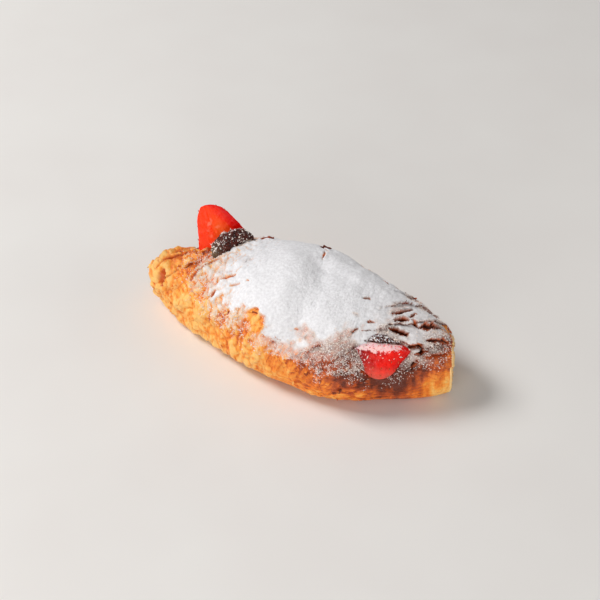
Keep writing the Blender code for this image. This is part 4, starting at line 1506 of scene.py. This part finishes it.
def berry_finish(name, sugared):
    """Strawberry: glossy red skin, and wet cut flesh, both with a faint painted glow."""
    finish = Finish(
        name,
        Specular_IOR_Level=0.16,
        Subsurface_Weight=0.4,
        Subsurface_Radius=SKIN_SCATTER,
        Subsurface_Scale=1.0,
    )
    skin = finish.mix(finish.noise(SKIN_MOTTLE), SKIN_DEEP, SKIN)
    berry = finish.mix(finish.value("cut"), skin, berry_flesh(finish))
    if sugared:
        berry = sugared_berry(finish, berry)
    finish.show("Base Color", berry)
    # Painted glow: the berry gives off its own colour as light, most on the cut flesh.
    finish.show("Emission Color", berry)
    skin_painted_glow = SUGARED_SKIN_PAINTED_GLOW if sugared else BARE_SKIN_PAINTED_GLOW
    finish.show("Emission Strength", finish.value("cut").spread(0.0, 1.0, skin_painted_glow, FLESH_PAINTED_GLOW))
    finish.show("Roughness", finish.noise(SKIN_GLOSS_SIZE).spread(0.0, 1.0, 0.18, 0.36))
    finish.bump(finish.noise(SKIN_PORE), SKIN_BUMP)
    return finish.material


def seed_finish():
    """Strawberry seeds, orange to red."""
    finish = Finish("berry_seed", Roughness=0.4)
    finish.show("Base Color", finish.mix(finish.noise(SKIN_MOTTLE), SEED_ORANGE, SEED_RED))
    return finish.material


def floor_finish():
    """A plain pale floor, very slightly mottled."""
    finish = Finish("pale_floor", Roughness=0.5)
    finish.show("Base Color", finish.mix(finish.noise(FLOOR_MOTTLE, detail=2), FLOOR_GREY, FLOOR_PALE))
    return finish.material


# ---- Stage ----
def lay_floor():
    """A plain floor just under the croissant."""
    corners = [(x * FLOOR_HALF, y * FLOOR_HALF, 0) for x, y in ((-1, -1), (1, -1), (1, 1), (-1, 1))]
    floor = new_piece("floor", corners, [[0, 1, 2, 3]])
    floor.location.z = -FLOOR_DROP
    floor.data.materials.append(floor_finish())


def light_room():
    """Soft lights that face the croissant, and the room's own faint light."""
    for name, place, size, power, tint in LIGHTS:
        light = bpy.data.lights.new(name, "AREA")
        light.size = size
        light.energy = power
        light.color = tint
        lamp = bpy.data.objects.new(name, light)
        lamp.location = place
        lamp.rotation_euler = (-Vector(place)).to_track_quat("-Z", "Y").to_euler()
        bpy.context.scene.collection.objects.link(lamp)
    world = bpy.data.worlds.new("room")
    world.use_nodes = True
    background = world.node_tree.nodes["Background"]
    background.inputs["Color"].default_value = ROOM_TINT
    background.inputs["Strength"].default_value = ROOM_LIGHT
    bpy.context.scene.world = world
    bpy.context.scene.view_settings.view_transform = "Standard"


def place_camera():
    """The camera, looking down on the front of the croissant."""
    turn, rise = math.radians(CAMERA_AZIMUTH), math.radians(CAMERA_HEIGHT_ANGLE)
    toward = Vector((
        math.sin(turn) * math.cos(rise), -math.cos(turn) * math.cos(rise), math.sin(rise)
    ))
    camera = bpy.data.objects.new("camera", bpy.data.cameras.new("camera"))
    camera.data.lens = CAMERA_LENS
    camera.data.sensor_width = CAMERA_SENSOR
    camera.data.clip_start = CAMERA_NEAR
    camera.location = Vector(CAMERA_TARGET) + toward * CAMERA_DISTANCE
    camera.rotation_euler = (-toward).to_track_quat("-Z", "Y").to_euler()
    bpy.context.scene.collection.objects.link(camera)
    bpy.context.scene.camera = camera


def attach(piece, slot, *nodes):
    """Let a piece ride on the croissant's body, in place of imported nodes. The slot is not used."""
    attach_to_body(piece, "root")
    if nodes:
        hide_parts(*nodes)


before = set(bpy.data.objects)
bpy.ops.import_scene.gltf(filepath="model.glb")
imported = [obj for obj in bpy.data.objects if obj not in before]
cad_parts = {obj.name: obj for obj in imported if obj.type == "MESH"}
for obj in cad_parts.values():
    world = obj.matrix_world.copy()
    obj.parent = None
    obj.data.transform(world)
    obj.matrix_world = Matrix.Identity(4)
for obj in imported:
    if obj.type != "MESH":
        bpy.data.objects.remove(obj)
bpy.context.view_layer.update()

lay_floor()
light_room()
place_camera()
crust, outward = crust_piece()
attach(crust, "golden_crust", "pastry")
filling = filling_piece()
attach(filling, "dark_chocolate", "chocolate_filling")
bare_finish = berry_finish("strawberry_bare", False)
standing = berry_piece("strawberry_standing", "berry_standing", STANDING, bare_finish)
attach(standing, "strawberry_red", "strawberry_standing")
dusted_finish = berry_finish("strawberry_dusted", True)
tucked = berry_piece("strawberry_tucked", "berry_tucked", TUCKED, dusted_finish)
attach(tucked, "strawberry_red", "strawberry_tucked")
attach(seeds_piece(), "strawberry_red")
attach(flakes_piece(crust, outward), "golden_crust")
for grains in loose_sugar(crust, filling, tucked):
    attach(grains, "icing_sugar")
